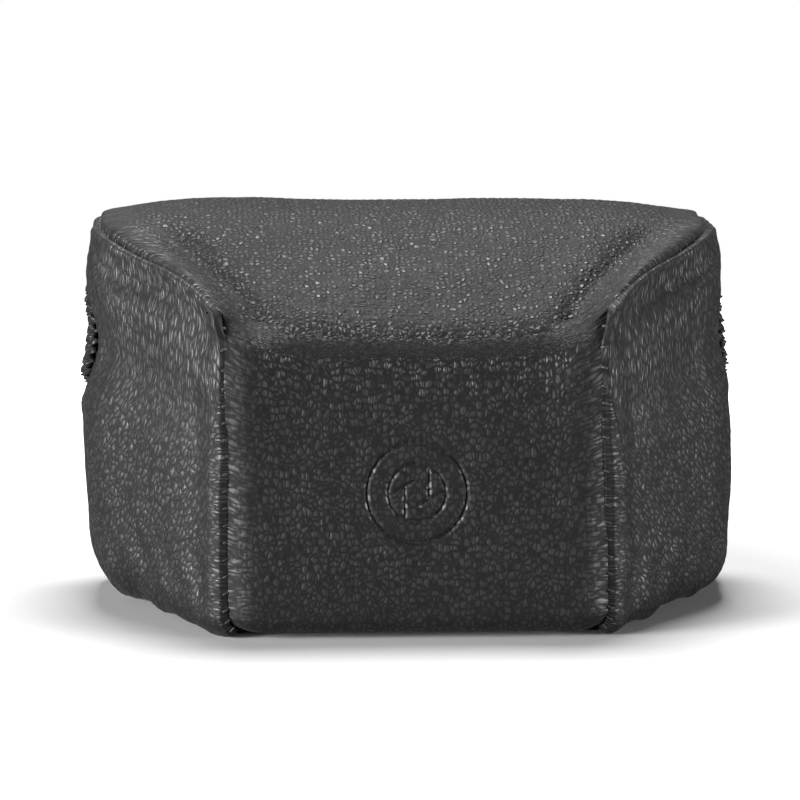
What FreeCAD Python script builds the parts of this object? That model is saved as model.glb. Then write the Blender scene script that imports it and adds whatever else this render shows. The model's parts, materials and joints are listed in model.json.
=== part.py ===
"""Soft leather ever ready case for a compact rangefinder camera with a short lens.

Frame: origin on the resting plane under the middle of the case, +X to the viewer's right,
+Y towards the back (the closing flap), +Z up. Lengths are in millimetres.

The case is one centre strip (nose face, ramp and top), a wing panel wrapped round each side,
a base, a low back panel and a flap hinged on the rear top edge that closes on two snap fasteners.
Each skin is a leather outer with a lining behind it, and stiff boards between them where needed.
"""

import FreeCAD
import Part
import math
import os

Vector = FreeCAD.Vector

# ---- driving dimensions -------------------------------------------------------------------
BODY_HALF_WIDTH = 77.0      # widest half width, round the ends of the camera
NOSE_HALF_WIDTH = 44.8      # half width of the nose at its side seams
NOSE_FRONT_Y = -44.2        # foot of the nose face
WING_FRONT_Y = -42.0        # where the side seams run down the nose
BACK_Y = 38.3               # outer face of the low back panel
FLAP_Y = 44.5               # outer face of the closed flap
TOP_Z = 93.4                # crest of the top
NOSE_TOP_Z = 73.0           # corner between nose face and ramp, in the middle
SEAM_CORNER_Z = 75.5        # the same corner at the side seams
SHOULDER_Z = 89.3           # side seams where they pass over the shoulders
LOW_BACK_HEIGHT = 32.0      # height of the sewn back panel, below the mouth
LOW_BACK_HALF_WIDTH = 64.9
FOOT_Z = 0.3                # the other panels turn up this far above the base's flat sole
SEAM_GAP = 0.25             # half the groove between two sewn panels
STRIP_DROP_POWER = 5        # how late the centre strip curves down towards its side seams
CROWN_HEIGHT = 15.0         # the wings lean in to the top seam over this height
CROWN_POWER = 2.2
ROLL_SHARE = 0.16           # of a wing's height that is its rolled lower edge

LEATHER = 1.4               # thickness of the outer hide
LINING = 0.7                # thickness of the lining
BOARD = 0.6                 # thickness of the stiff boards
LAYER_CLEARANCE = 0.08      # air between two layers
BOARD_DEPTH = LEATHER + LAYER_CLEARANCE
LINING_DEPTH = BOARD_DEPTH + BOARD + LAYER_CLEARANCE

HINGE_HALF_WIDTH = 65.0     # length of the flap's fold line, either side of the middle

NOTCH_CENTRE_Z = 62.0       # strap openings, level with the camera's strap lugs
NOTCH_HALF_HEIGHT = 16.5
NOTCH_DEPTH = 41.0          # how far an opening reaches forward of the flap
EAR_HALF_HEIGHT = 12.6      # gathered ear that closes an opening
EAR_FRONT_Y = 13.5          # front of the ear, which leaves room for the strap lug before it
EAR_OUTER_X = 78.5
EAR_ROUNDING = 0.8          # 1 would make the ear's front edge a full half oval
EAR_OVAL_DEPTH = 26.0       # of the oval that the front edge is part of
EAR_THICKNESS = 1.3

FLAP_HALF_WIDTH = 68.5
FLAP_FOOT_Z = 11.0
FLAP_TRIM = 1.5             # waste cut off each side of the flap
FLAP_CORNER = 17.0
FLAP_EDGE_CURL = 2.4        # the flap's side edges lean in towards the wings
FLAP_CURL_POWER = 12        # a high power keeps the lean near the edges
HINGE_GAP = 0.5             # clearance that the fold needs between strip and flap

SNAP_X = 38.0               # the two snap fasteners
SNAP_Z = 21.0
SNAP_HOLE_R = 2.0
PLATE = 0.4                 # thickness of the snaps' flanges
TUBE_R = 1.8                # tubes that hold a snap's two halves through the leather
BORE_R = 1.4
CAP_R = 6.2
CAP_DOME = 1.5              # height of the cap's dome
SOCKET_R = 5.8
CUP_R = 4.5
CUP_BORE_R = 3.5
SPRING_R = 3.12             # ring that grips the stud's neck
SPRING_WIRE_R = 0.28
STUD_R = 5.4
STUD_NECK_R = 2.6
STUD_BULB_R = 3.05
RIVET_R = 4.8

THREAD_R = 0.24
EDGING_R = 0.5              # rolled edge round an opening
ELASTIC_R = 0.8

OUT = "parts"


# ---- curves -------------------------------------------------------------------------------
def smooth(x):
    """Eases from 0 to 1 as x goes from 0 to 1."""
    x = min(1.0, max(0.0, x))
    return x * x * (3.0 - 2.0 * x)


class RoundedPath:
    """A polyline whose inner corners are rounded to given radii, walked by share of its length."""

    def __init__(self, corners, radii):
        points = [Vector(*corner) for corner in corners]
        self.pieces = []
        start = points[0]
        for before, corner, after, radius in zip(points, points[1:], points[2:], radii):
            back = (before - corner).normalize()
            ahead = (after - corner).normalize()
            half = back.getAngle(ahead) / 2.0
            reach = radius / math.tan(half)
            bisector = (back + ahead).normalize()
            centre = corner + bisector * (radius / math.sin(half))
            entry = corner + back * reach
            self.pieces.append(("line", start, entry, (entry - start).Length))
            first = (entry - centre).normalize()
            turn = math.pi - 2.0 * half
            second = (corner + ahead * reach - centre) - first * (radius * math.cos(turn))
            second.normalize()
            self.pieces.append(("arc", centre, (first, second, radius, turn), radius * turn))
            start = corner + ahead * reach
        self.pieces.append(("line", start, points[-1], (points[-1] - start).Length))
        self.length = sum(piece[3] for piece in self.pieces)

    def at(self, share):
        """The point at this share of the whole length. Shares past an end run straight on."""
        left = share * self.length
        for kind, a, b, length in self.pieces:
            last = kind == "line" and b is self.pieces[-1][2]
            if left <= length or last:
                break
            left -= length
        if kind == "line":
            return a + (b - a) * (left / length)
        first, second, radius, turn = b
        angle = turn * left / length
        return a + first * (radius * math.cos(angle)) + second * (radius * math.sin(angle))


# Plan of a wing at mid height: along the nose's flank, down the side, round onto the back.
WING_PLAN = RoundedPath(
    [(NOSE_HALF_WIDTH, WING_FRONT_Y, 0), (BODY_HALF_WIDTH, 0, 0),
     (BODY_HALF_WIDTH, BACK_Y, 0), (LOW_BACK_HALF_WIDTH, BACK_Y, 0)], [28.0, 12.0])

# The seam between the centre strip and a wing, above the nose's top corner.
TOP_SEAM = RoundedPath(
    [(46.0, -37.0, SEAM_CORNER_Z), (72.6, 4.0, SHOULDER_Z), (72.4, 37.4, SHOULDER_Z - 0.5),
     (HINGE_HALF_WIDTH, 37.4, SHOULDER_Z - 0.4)], [22.0, 6.0])

# Middle line of the centre strip and flap, as (y, z): up the nose, up the ramp, over, down.
SPINE = RoundedPath(
    [(-36.0, FOOT_Z, 0), (NOSE_FRONT_Y, FOOT_Z, 0), (-39.5, NOSE_TOP_Z, 0), (2.0, TOP_Z, 0),
     (FLAP_Y, TOP_Z - 1.0, 0), (FLAP_Y, FLAP_FOOT_Z, 0)], [5.0, 10.0, 45.0, 11.0])
HINGE_SHARE = 0.6735        # where the spine passes from the strip to the flap

# Heights and widths of the rolled lower edge of a wing: at the nose, the side and the back.
ROLL_IN = (5.0, 8.0, 6.0)
ROLL_UP = (6.0, 13.0, 8.0)
BACK_ROLL_SHARE = 0.3       # of the low back's height that is its rolled lower edge


def along_wing(values, s):
    """Blends three values given for the front, side and back of a wing."""
    front, side, back = values
    return front + (side - front) * smooth(s / 0.45) + (back - side) * smooth((s - 0.72) / 0.2)


def inward(p):
    """Direction from a point of the skin to the inside, shared by all panels so that they mitre."""
    return Vector(-0.4 * p.x, 4.0 - 0.8 * p.y, 25.0 - 0.55 * p.z).normalize()


# ---- outer surfaces, each a function of two shares -------------------------------------------
def plan_inward(s):
    """Horizontal direction into the case from the wing's plan."""
    step = WING_PLAN.at(s + 0.004) - WING_PLAN.at(s - 0.004)
    return Vector(-step.y, step.x, 0).normalize()


def wing_point(s, t):
    """Right wing: s runs from the nose seam to the back, t from the base to the top seam."""
    side = WING_PLAN.at(s)
    top = TOP_SEAM.at(s)
    roll_in, roll_up = along_wing(ROLL_IN, s), along_wing(ROLL_UP, s)
    if t < ROLL_SHARE:
        angle = 0.5 * math.pi * t / ROLL_SHARE
        z = FOOT_Z + (roll_up - FOOT_Z) * (1.0 - math.cos(angle))
        inset = plan_inward(s) * (roll_in * (1.0 - math.sin(angle)))
    else:
        z = roll_up + (top.z - roll_up) * (t - ROLL_SHARE) / (1.0 - ROLL_SHARE)
        inset = Vector(0, 0, 0)
    lean = max(0.0, (z - top.z + CROWN_HEIGHT) / CROWN_HEIGHT) ** CROWN_POWER
    point = side + inset
    return Vector(point.x + (top.x - side.x) * lean, point.y + (top.y - side.y) * lean, z)


SEAM_FRONT_LENGTH = SEAM_CORNER_Z
HINGE_LINE = SPINE.at(HINGE_SHARE)
STRIP_END = Vector(HINGE_HALF_WIDTH, HINGE_LINE.x, HINGE_LINE.y)
SEAM_SPAN = SEAM_FRONT_LENGTH + TOP_SEAM.length + (STRIP_END - TOP_SEAM.at(1.0)).Length


def strip_edge(v):
    """Right edge of the centre strip: up the nose, then along the top seam to the hinge line."""
    walked = v * SEAM_SPAN
    if walked <= SEAM_FRONT_LENGTH:
        return wing_point(0.0, walked / SEAM_FRONT_LENGTH)
    walked -= SEAM_FRONT_LENGTH
    if walked <= TOP_SEAM.length:
        return TOP_SEAM.at(walked / TOP_SEAM.length)
    rest = (walked - TOP_SEAM.length) / (SEAM_SPAN - SEAM_FRONT_LENGTH - TOP_SEAM.length)
    return TOP_SEAM.at(1.0) + (STRIP_END - TOP_SEAM.at(1.0)) * rest


def strip_point(u, v):
    """Centre strip: u from -1 to 1 across, v from the base up over the nose to the hinge line."""
    spine = SPINE.at(v * HINGE_SHARE)
    edge = strip_edge(v)
    drop = abs(u) ** STRIP_DROP_POWER
    return Vector(u * edge.x, spine.x + (edge.y - spine.x) * drop,
                  spine.y + (edge.z - spine.y) * drop)


def edge_curl(x):
    """How far the flap leans in towards the wings at this distance from its middle."""
    return FLAP_EDGE_CURL * abs(x / FLAP_HALF_WIDTH) ** FLAP_CURL_POWER


def flap_outline(t):
    """Half width of the untrimmed flap at share t of its height."""
    full = FLAP_HALF_WIDTH + FLAP_TRIM
    return HINGE_HALF_WIDTH + (full - HINGE_HALF_WIDTH) * smooth(t / 0.2)


def flap_point(u, t):
    """Flap: u from -1 to 1 across, t from the hinge line down to the foot."""
    spine = SPINE.at(HINGE_SHARE + (1.0 - HINGE_SHARE) * t)
    x = u * flap_outline(t)
    return Vector(x, spine.x - edge_curl(x) * smooth(t / 0.25), spine.y)


def back_point(u, t):
    """Low back panel: u from -1 to 1 across, t from the base up to the mouth."""
    edge = wing_point(1.0, 0.0)
    roll_in, roll_up = ROLL_IN[2], ROLL_UP[2]
    if t < BACK_ROLL_SHARE:
        angle = 0.5 * math.pi * t / BACK_ROLL_SHARE
        y = BACK_Y - roll_in * (1.0 - math.sin(angle))
        z = FOOT_Z + (roll_up - FOOT_Z) * (1.0 - math.cos(angle))
    else:
        y = BACK_Y
        z = roll_up + (LOW_BACK_HEIGHT - roll_up) * (t - BACK_ROLL_SHARE) / (1.0 - BACK_ROLL_SHARE)
    return Vector(u * edge.x, y, z)


def base_point(u, b):
    """Base: u from -1 to 1 across, b from the nose to the back."""
    edge = wing_point(b, 0.0)
    front, rear = strip_point(u, 0.0).y, BACK_Y - ROLL_IN[2]
    share = (edge.y - wing_point(0.0, 0.0).y) / (rear - wing_point(0.0, 0.0).y)
    y = edge.y + (front - wing_point(0.0, 0.0).y) * (1.0 - share)
    return Vector(u * edge.x, y, 0.0)


EAR_ROOT = Vector(FLAP_HALF_WIDTH + 1.5, FLAP_Y - FLAP_EDGE_CURL, 0)
EAR_PLAN = RoundedPath(
    [EAR_ROOT, (EAR_OUTER_X, EAR_ROOT.y - 0.9, 0), (EAR_OUTER_X, EAR_FRONT_Y, 0)], [8.0])
CHANNEL_SHARE = 0.955        # the elastic runs in a channel just inside the ear's front edge
CHANNEL_SEAM_SHARE = 0.91


def ear_point(a, b):
    """Right ear: a from its root at the flap round to its curved front edge, b from foot to head."""
    height = 2.0 * b - 1.0
    front_drop = EAR_OVAL_DEPTH * (1.0 - math.sqrt(1.0 - EAR_ROUNDING * height * height))
    plan = EAR_PLAN.at(a * (1.0 - front_drop / EAR_PLAN.length))
    return Vector(plan.x, plan.y, NOTCH_CENTRE_Z + height * EAR_HALF_HEIGHT)


# ---- solids ---------------------------------------------------------------------------------
def spread(low, high, count):
    return [low + (high - low) * i / (count - 1) for i in range(count)]


def skin_normal(surface, a, b, step=0.004):
    """Unit normal of a surface function, on the side that faces into the case."""
    across = surface(a + step, b) - surface(a - step, b)
    along = surface(a, min(1.0, b + step)) - surface(a, max(0.0, b - step))
    normal = across.cross(along).normalize()
    return normal if normal.dot(inward(surface(a, b))) > 0 else -normal


def sunk_point(surface, a, b, depth):
    """The point under surface(a, b) whose distance from the skin is depth."""
    point = surface(a, b)
    if depth == 0:
        return point
    way = inward(point)
    return point + way * (depth / max(0.45, way.dot(skin_normal(surface, a, b))))


def smooth_face(surface, a_values, b_values, depth):
    grid = [[sunk_point(surface, a, b, depth) for b in b_values] for a in a_values]
    spline = Part.BSplineSurface()
    spline.interpolate(grid)
    return spline


def edge_curves(spline):
    """The four border curves of a spline surface, in order round it."""
    a0, a1, b0, b1 = spline.bounds()
    return [spline.uIso(a0), spline.vIso(b1), spline.uIso(a1), spline.vIso(b0)]


def flat_face(spline):
    """A plane face with the border of a spline surface that is flat."""
    return Part.Face(Part.Wire([curve.toShape() for curve in edge_curves(spline)]))


def sheet(surface, a_range, b_range, depth, thickness, counts=(21, 25), flat=False):
    """A sheet of even thickness at a given depth under a surface function."""
    a_values, b_values = spread(*a_range, counts[0]), spread(*b_range, counts[1])
    outer = smooth_face(surface, a_values, b_values, depth)
    inner = smooth_face(surface, a_values, b_values, depth + thickness)
    faces = [flat_face(side) if flat else side.toShape() for side in (outer, inner)]
    for outside, inside in zip(edge_curves(outer), edge_curves(inner)):
        faces.append(Part.makeRuledSurface(outside.toShape(), inside.toShape()))
    return closed_solid(faces)


def closed_solid(faces):
    shell = Part.makeShell(faces)
    shell.sewShape()
    solid = Part.makeSolid(shell)
    if solid.Volume < 0:
        solid.reverse()
    return solid


def mirrored(shape):
    """The same piece on the other side of the case."""
    return shape.mirror(Vector(0, 0, 0), Vector(1, 0, 0))


def rod(start, end, radius):
    """A round rod with tapered ends, such as one stitch of thread diving into its holes."""
    length = (end - start).Length
    tip = 0.5 * radius
    profile = [(0, -radius), (tip, -radius), (radius, 0), (radius, length),
               (tip, length + radius), (0, length + radius), (0, -radius)]
    outline = Part.makePolygon([Vector(x, 0, z) for x, z in profile])
    solid = Part.Face(outline).revolve(Vector(0, 0, 0), Vector(0, 0, 1), 360.0)
    solid.Placement = FreeCAD.Placement(start, FreeCAD.Rotation(Vector(0, 0, 1), end - start))
    return solid


def cord(points, radius):
    """A round cord along a smooth curve through the points."""
    curve = Part.BSplineCurve()
    curve.interpolate(points)
    spine = Part.Wire(curve.toShape())
    section = Part.Wire(Part.makeCircle(radius, points[0], curve.tangent(curve.FirstParameter)[0]))
    return spine.makePipeShell([section], True, True)


def disc(radius, y_from, y_to, x=SNAP_X, z=SNAP_Z):
    """A disc on a snap fastener's axis, between two depths."""
    return Part.makeCylinder(radius, abs(y_to - y_from), Vector(x, min(y_from, y_to), z), Vector(0, 1, 0))


def both_sides(shape):
    return Part.makeCompound([shape, mirrored(shape)])


def export(name, shape):
    shape.exportStep(os.path.join(OUT, name + ".step"))


# ---- cutters --------------------------------------------------------------------------------
def notch_cutter(grow=0.0):
    """Half-oval prism along X that opens the right wing for the strap."""
    ellipse = Part.Ellipse(Vector(0, 0, 0), NOTCH_DEPTH + grow, NOTCH_HALF_HEIGHT + grow)
    wire = Part.Wire(ellipse.toShape())
    prism = Part.Face(wire).extrude(Vector(0, 0, 45.0))
    prism.rotate(Vector(0, 0, 0), Vector(1, 1, 1), 120.0)
    prism.translate(Vector(50.0, FLAP_Y, NOTCH_CENTRE_Z))
    return prism


def flap_trim(inset=0.0):
    """Prism along Y with the flap's outline, foot corners rounded."""
    half, foot, head = FLAP_HALF_WIDTH - inset, FLAP_FOOT_Z + inset, TOP_Z + 20.0
    corner = FLAP_CORNER - inset
    block = Part.makeBox(2 * half, 40.0, head - foot, Vector(-half, 20.0, foot))
    upright = [edge for edge in block.Edges
               if abs(edge.Vertexes[0].Z - foot) < 1e-6 and abs(edge.Vertexes[1].Z - foot) < 1e-6
               and abs(edge.Vertexes[0].Y - edge.Vertexes[1].Y) > 1.0]
    return block.makeFillet(corner, upright)


def snap_holes(y_from, y_to):
    return both_sides(disc(SNAP_HOLE_R, y_from, y_to))


# ---- the sewn body of the case ----------------------------------------------------------------
STRIP_U = (SEAM_GAP / NOSE_HALF_WIDTH - 1.0, 1.0 - SEAM_GAP / NOSE_HALF_WIDTH)
STRIP_V = (SEAM_GAP / SEAM_SPAN, 1.0 - SEAM_GAP / SEAM_SPAN)
WING_S = (SEAM_GAP / WING_PLAN.length, 1.0 - SEAM_GAP / WING_PLAN.length)
WING_T = (SEAM_GAP / SEAM_CORNER_Z, 1.0 - SEAM_GAP / SEAM_CORNER_Z)
LINING_MARGIN = 0.012


def shrink(bounds, share):
    low, high = bounds
    return low + share * (high - low), high - share * (high - low)


def make_strip():
    export("nose_top_leather", sheet(strip_point, STRIP_U, STRIP_V, 0.0, LEATHER, (25, 65)))
    export("nose_top_lining", sheet(strip_point, shrink(STRIP_U, LINING_MARGIN),
                                    shrink(STRIP_V, LINING_MARGIN), LINING_DEPTH, LINING, (25, 61)))
    export("nose_board", sheet(strip_point, (-0.8, 0.8), (0.09, 0.36), BOARD_DEPTH, BOARD, (9, 11)))


def make_wings():
    leather = sheet(wing_point, WING_S, WING_T, 0.0, LEATHER, (37, 27)).cut(notch_cutter())
    lining = sheet(wing_point, shrink(WING_S, LINING_MARGIN), shrink(WING_T, LINING_MARGIN),
                   LINING_DEPTH, LINING, (37, 25)).cut(notch_cutter(1.6))
    for side, place in (("right", lambda shape: shape), ("left", mirrored)):
        export(side + "_wing_leather", place(leather))
        export(side + "_wing_lining", place(lining))


def make_base():
    counts = (9, 25)
    leather = sheet(base_point, STRIP_U, (0.003, 0.985), 0.0, LEATHER, counts, flat=True)
    board = sheet(base_point, (-0.92, 0.92), (0.05, 0.8), BOARD_DEPTH, BOARD, counts, flat=True)
    lining = sheet(base_point, (-0.97, 0.97), (0.02, 0.95), LINING_DEPTH, LINING, counts, flat=True)
    export("base_leather", leather)
    export("base_board", board)
    export("base_lining", lining)


def make_low_back():
    holes = snap_holes(BACK_Y - 8.0, BACK_Y + 2.0)
    leather = sheet(back_point, STRIP_U, (0.008, 1.0), 0.0, LEATHER, (9, 17))
    board = sheet(back_point, (-0.93, 0.93), (0.4, 0.93), BOARD_DEPTH, BOARD, (9, 9))
    lining = sheet(back_point, (-0.975, 0.975), (0.03, 0.985), LINING_DEPTH, LINING, (9, 17))
    export("low_back_leather", leather.cut(holes))
    export("low_back_board", board.cut(holes))
    export("low_back_lining", lining.cut(holes))


# ---- the flap ---------------------------------------------------------------------------------
FLAP_U = (-1.0, 1.0)


def make_flap():
    holes = snap_holes(FLAP_Y - 8.0, FLAP_Y + 3.0)
    root = HINGE_GAP / (SPINE.length * (1.0 - HINGE_SHARE))
    leather = sheet(flap_point, FLAP_U, (root, 1.0), 0.0, LEATHER, (25, 25)).common(flap_trim())
    board = sheet(flap_point, FLAP_U, (0.2, 1.0), BOARD_DEPTH, BOARD, (25, 21)).common(flap_trim(5.0))
    lining = sheet(flap_point, FLAP_U, (root + 0.006, 1.0), LINING_DEPTH, LINING, (25, 25))
    lining = lining.common(flap_trim(0.6))
    export("flap_leather", leather.cut(holes))
    export("flap_board", board.cut(holes))
    export("flap_lining", lining.cut(holes))


# ---- snap fasteners ---------------------------------------------------------------------------
CAP_SEAT_Y = FLAP_Y + 0.02
FLAP_INSIDE_Y = FLAP_Y - LINING_DEPTH - LINING - 0.06
STUD_SEAT_Y = BACK_Y + 0.02
BACK_INSIDE_Y = BACK_Y - LINING_DEPTH - LINING - 0.02
FIT = 0.05                  # what a tube's outside leaves free in a flange's hole


def snap_cap():
    """Domed cap on the outside of the flap, with the tube that holds the socket."""
    ball_r = (CAP_R ** 2 + CAP_DOME ** 2) / (2.0 * CAP_DOME)
    ball = Part.makeSphere(ball_r, Vector(SNAP_X, CAP_SEAT_Y + CAP_DOME - ball_r, SNAP_Z))
    dome = ball.common(disc(CAP_R, CAP_SEAT_Y + 0.35, CAP_SEAT_Y + 2.0 * CAP_DOME))
    rim = disc(CAP_R, CAP_SEAT_Y, CAP_SEAT_Y + 0.5)
    tube = disc(TUBE_R, FLAP_INSIDE_Y - PLATE - 0.1, CAP_SEAT_Y + 0.2)
    bore = disc(BORE_R, FLAP_INSIDE_Y - PLATE - 0.2, CAP_SEAT_Y - 0.5)
    return rim.fuse([dome, tube]).cut(bore).removeSplitter()


def snap_socket():
    """Cup on the inside of the flap that the stud enters."""
    plate_y = FLAP_INSIDE_Y - PLATE
    mouth_y = STUD_SEAT_Y + PLATE + 0.25
    plate = disc(SOCKET_R, plate_y, FLAP_INSIDE_Y)
    cup = disc(CUP_R, mouth_y, plate_y + 0.1).cut(disc(CUP_BORE_R, mouth_y - 1.0, plate_y))
    hole = disc(TUBE_R + FIT, plate_y - 1.0, FLAP_INSIDE_Y + 1.0)
    return plate.fuse(cup).cut(hole).removeSplitter()


def snap_spring():
    """Wire ring in the cup that grips the stud's neck."""
    centre = Vector(SNAP_X, STUD_SEAT_Y + PLATE + 0.75, SNAP_Z)
    return Part.makeTorus(SPRING_R, SPRING_WIRE_R, centre, Vector(0, 1, 0))


def snap_stud():
    """Flange, neck and bulb on the outside of the low back panel."""
    neck_y = STUD_SEAT_Y + PLATE
    flange = disc(STUD_R, STUD_SEAT_Y, neck_y)
    neck = disc(STUD_NECK_R, neck_y - 0.1, neck_y + 1.1)
    bulb = disc(STUD_BULB_R, neck_y + 1.05, neck_y + 1.75)
    bulb = bulb.makeFillet(0.3, [edge for edge in bulb.Edges if edge.Length > 15.0])
    hole = disc(TUBE_R + FIT, STUD_SEAT_Y - 1.0, neck_y + 3.0)
    return flange.fuse([neck, bulb]).cut(hole).removeSplitter()


def snap_rivet():
    """Rivet from inside the case that holds the stud."""
    flange = disc(RIVET_R, BACK_INSIDE_Y - PLATE, BACK_INSIDE_Y)
    tube = disc(TUBE_R, BACK_INSIDE_Y - 0.1, STUD_SEAT_Y + 1.6)
    bore = disc(BORE_R, BACK_INSIDE_Y + 0.4, STUD_SEAT_Y + 3.0)
    return flange.fuse(tube).cut(bore).removeSplitter()


def make_snaps():
    export("snap_caps", both_sides(snap_cap()))
    export("snap_sockets", both_sides(snap_socket()))
    export("snap_springs", both_sides(snap_spring()))
    export("snap_studs", both_sides(snap_stud()))
    export("snap_rivets", both_sides(snap_rivet()))


# ---- strap openings ---------------------------------------------------------------------------
def notch_edge(turn):
    """Point on the rim of the right wing's strap opening, turn in radians from its apex."""
    y = FLAP_Y - NOTCH_DEPTH * math.cos(turn)
    z = NOTCH_CENTRE_Z + NOTCH_HALF_HEIGHT * math.sin(turn)
    low, high = 0.2, 0.9
    while high - low > 1e-4:
        middle = 0.5 * (low + high)
        low, high = (middle, high) if WING_PLAN.at(middle).y < y else (low, middle)
    return Vector(WING_PLAN.at(low).x, y, z)


def opening_rim():
    """Middle line of the rolled edging, just inside the cut edge of the right wing."""
    rim = []
    for turn in spread(-1.25, 1.25, 21):
        across = Vector(0, NOTCH_HALF_HEIGHT * math.cos(turn), -NOTCH_DEPTH * math.sin(turn))
        inside = across.normalize() * (EDGING_R + 0.05)
        rim.append(notch_edge(turn) + inside + Vector(-0.6, 0, 0))
    return rim


def elastic_line():
    """Middle line of the elastic cord, behind the ear's front edge."""
    depth = EAR_THICKNESS + ELASTIC_R + 0.15
    return [sunk_point(ear_point, CHANNEL_SHARE, b, depth) for b in spread(0.16, 0.84, 11)]


def channel_stitches():
    """Stitches along the ear that close the elastic's channel, sunk halfway into the leather."""
    stitches = []
    for b in spread(0.08, 0.92, 9):
        start = sunk_point(ear_point, CHANNEL_SEAM_SHARE, b, 0.05)
        end = sunk_point(ear_point, CHANNEL_SEAM_SHARE, b + 0.055, 0.05)
        stitches.append(rod(start, end, THREAD_R))
    return Part.makeCompound(stitches)


def make_openings():
    edging = cord(opening_rim(), EDGING_R)
    ear = sheet(ear_point, (0.0, 1.0), (0.0, 1.0), 0.0, EAR_THICKNESS, (17, 13))
    band = cord(elastic_line(), ELASTIC_R)
    thread = channel_stitches()
    for side, place in (("right", lambda shape: shape), ("left", mirrored)):
        export(side + "_opening_edging", place(edging))
        export(side + "_ear_leather", place(ear))
        export(side + "_ear_elastic", place(band))
        export(side + "_ear_thread", place(thread))


# ---- thread -----------------------------------------------------------------------------------
STITCH_PITCH = 3.6
STITCH_INSET = 3.0           # topstitching runs this far inside a free edge
SEAM_STITCH_SINK = 1.0       # the seams' own stitches lie down in the groove
SEAM_STITCH_REACH = 0.9


def seam_stitches():
    """Stitches that cross the groove between the centre strip and the right wing."""
    stitches = []
    first, last = 0.03, 0.93
    count = int((last - first) * SEAM_SPAN / STITCH_PITCH)
    for v in spread(first, last, count):
        seam = strip_edge(v)
        along = (strip_edge(v + 0.004) - strip_edge(v - 0.004)).normalize()
        down = inward(seam)
        across = along.cross(down).normalize()
        middle = seam + down * SEAM_STITCH_SINK
        half = across * SEAM_STITCH_REACH
        stitches.append(rod(middle - half, middle + half, THREAD_R))
    return Part.makeCompound(stitches)


def row_of_stitches(path, count):
    """Stitches laid end to end along a path function of share."""
    stitches = []
    for i in range(count):
        stitches.append(rod(path((i + 0.14) / count), path((i + 0.86) / count), THREAD_R))
    return Part.makeCompound(stitches)


def flap_stitch_path(share):
    """Round the flap inside its free edge, from the right root down and up to the left."""
    half, foot, head = FLAP_HALF_WIDTH - STITCH_INSET, FLAP_FOOT_Z + STITCH_INSET, 82.0
    corner = FLAP_CORNER - STITCH_INSET
    outline = RoundedPath([(half, head, 0), (half, foot, 0), (-half, foot, 0), (-half, head, 0)],
                          [corner, corner])
    point = outline.at(share)
    return Vector(point.x, FLAP_Y + 0.02 - edge_curl(point.x), point.y)


def mouth_stitch_path(share):
    """Across the low back, just under its free upper edge."""
    half = LOW_BACK_HALF_WIDTH - 7.0
    return Vector((2.0 * share - 1.0) * half, BACK_Y + 0.02, LOW_BACK_HEIGHT - STITCH_INSET)


def make_threads():
    seam = seam_stitches()
    export("right_seam_thread", seam)
    export("left_seam_thread", mirrored(seam))
    export("flap_edge_thread", row_of_stitches(flap_stitch_path, 76))
    export("mouth_edge_thread", row_of_stitches(mouth_stitch_path, 34))


def main():
    os.makedirs(OUT, exist_ok=True)
    make_strip()
    make_wings()
    make_base()
    make_low_back()
    make_flap()
    make_snaps()
    make_openings()
    make_threads()


main()
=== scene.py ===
import json
import math

import bpy
import numpy as np
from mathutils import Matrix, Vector, noise


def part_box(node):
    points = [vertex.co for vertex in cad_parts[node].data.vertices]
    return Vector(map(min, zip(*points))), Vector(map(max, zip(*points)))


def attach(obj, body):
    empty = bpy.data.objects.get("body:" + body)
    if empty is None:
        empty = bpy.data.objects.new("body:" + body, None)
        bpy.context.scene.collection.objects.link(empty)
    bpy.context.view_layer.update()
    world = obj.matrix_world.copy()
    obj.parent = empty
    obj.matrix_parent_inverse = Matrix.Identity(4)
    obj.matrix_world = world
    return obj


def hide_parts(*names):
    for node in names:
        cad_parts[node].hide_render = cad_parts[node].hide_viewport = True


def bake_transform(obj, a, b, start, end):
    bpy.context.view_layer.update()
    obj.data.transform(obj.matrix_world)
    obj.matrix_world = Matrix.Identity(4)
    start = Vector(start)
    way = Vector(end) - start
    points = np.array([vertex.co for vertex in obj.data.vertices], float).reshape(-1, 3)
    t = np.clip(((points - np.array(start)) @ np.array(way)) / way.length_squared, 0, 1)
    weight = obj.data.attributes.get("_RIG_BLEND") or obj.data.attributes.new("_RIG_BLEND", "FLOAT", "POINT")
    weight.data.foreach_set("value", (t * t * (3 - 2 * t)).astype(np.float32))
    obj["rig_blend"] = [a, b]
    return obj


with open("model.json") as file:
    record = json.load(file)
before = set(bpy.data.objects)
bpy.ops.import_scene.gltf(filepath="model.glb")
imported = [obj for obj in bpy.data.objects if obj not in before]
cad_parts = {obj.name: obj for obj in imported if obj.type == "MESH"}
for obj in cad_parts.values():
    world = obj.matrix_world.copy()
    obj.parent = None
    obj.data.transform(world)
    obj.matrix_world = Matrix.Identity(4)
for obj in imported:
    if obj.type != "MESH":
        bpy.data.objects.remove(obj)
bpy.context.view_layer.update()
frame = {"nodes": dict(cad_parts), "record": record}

# Shapes are worked out in millimetres in the CAD frame, and become metres when a mesh is made.
MM = 0.001


def cad_mm(node):
    """Lowest and highest corner of a CAD node, in millimetres."""
    low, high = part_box(node)
    return np.array(low) / MM, np.array(high) / MM


wing_high = cad_mm("right_wing_leather")[1]
strip_low, strip_high = cad_mm("nose_top_leather")
flap_low, flap_high = cad_mm("flap_leather")
back_high = cad_mm("low_back_leather")[1]
ear_low, ear_high = cad_mm("right_ear_leather")
cap_low, cap_high = cad_mm("snap_caps")

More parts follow.
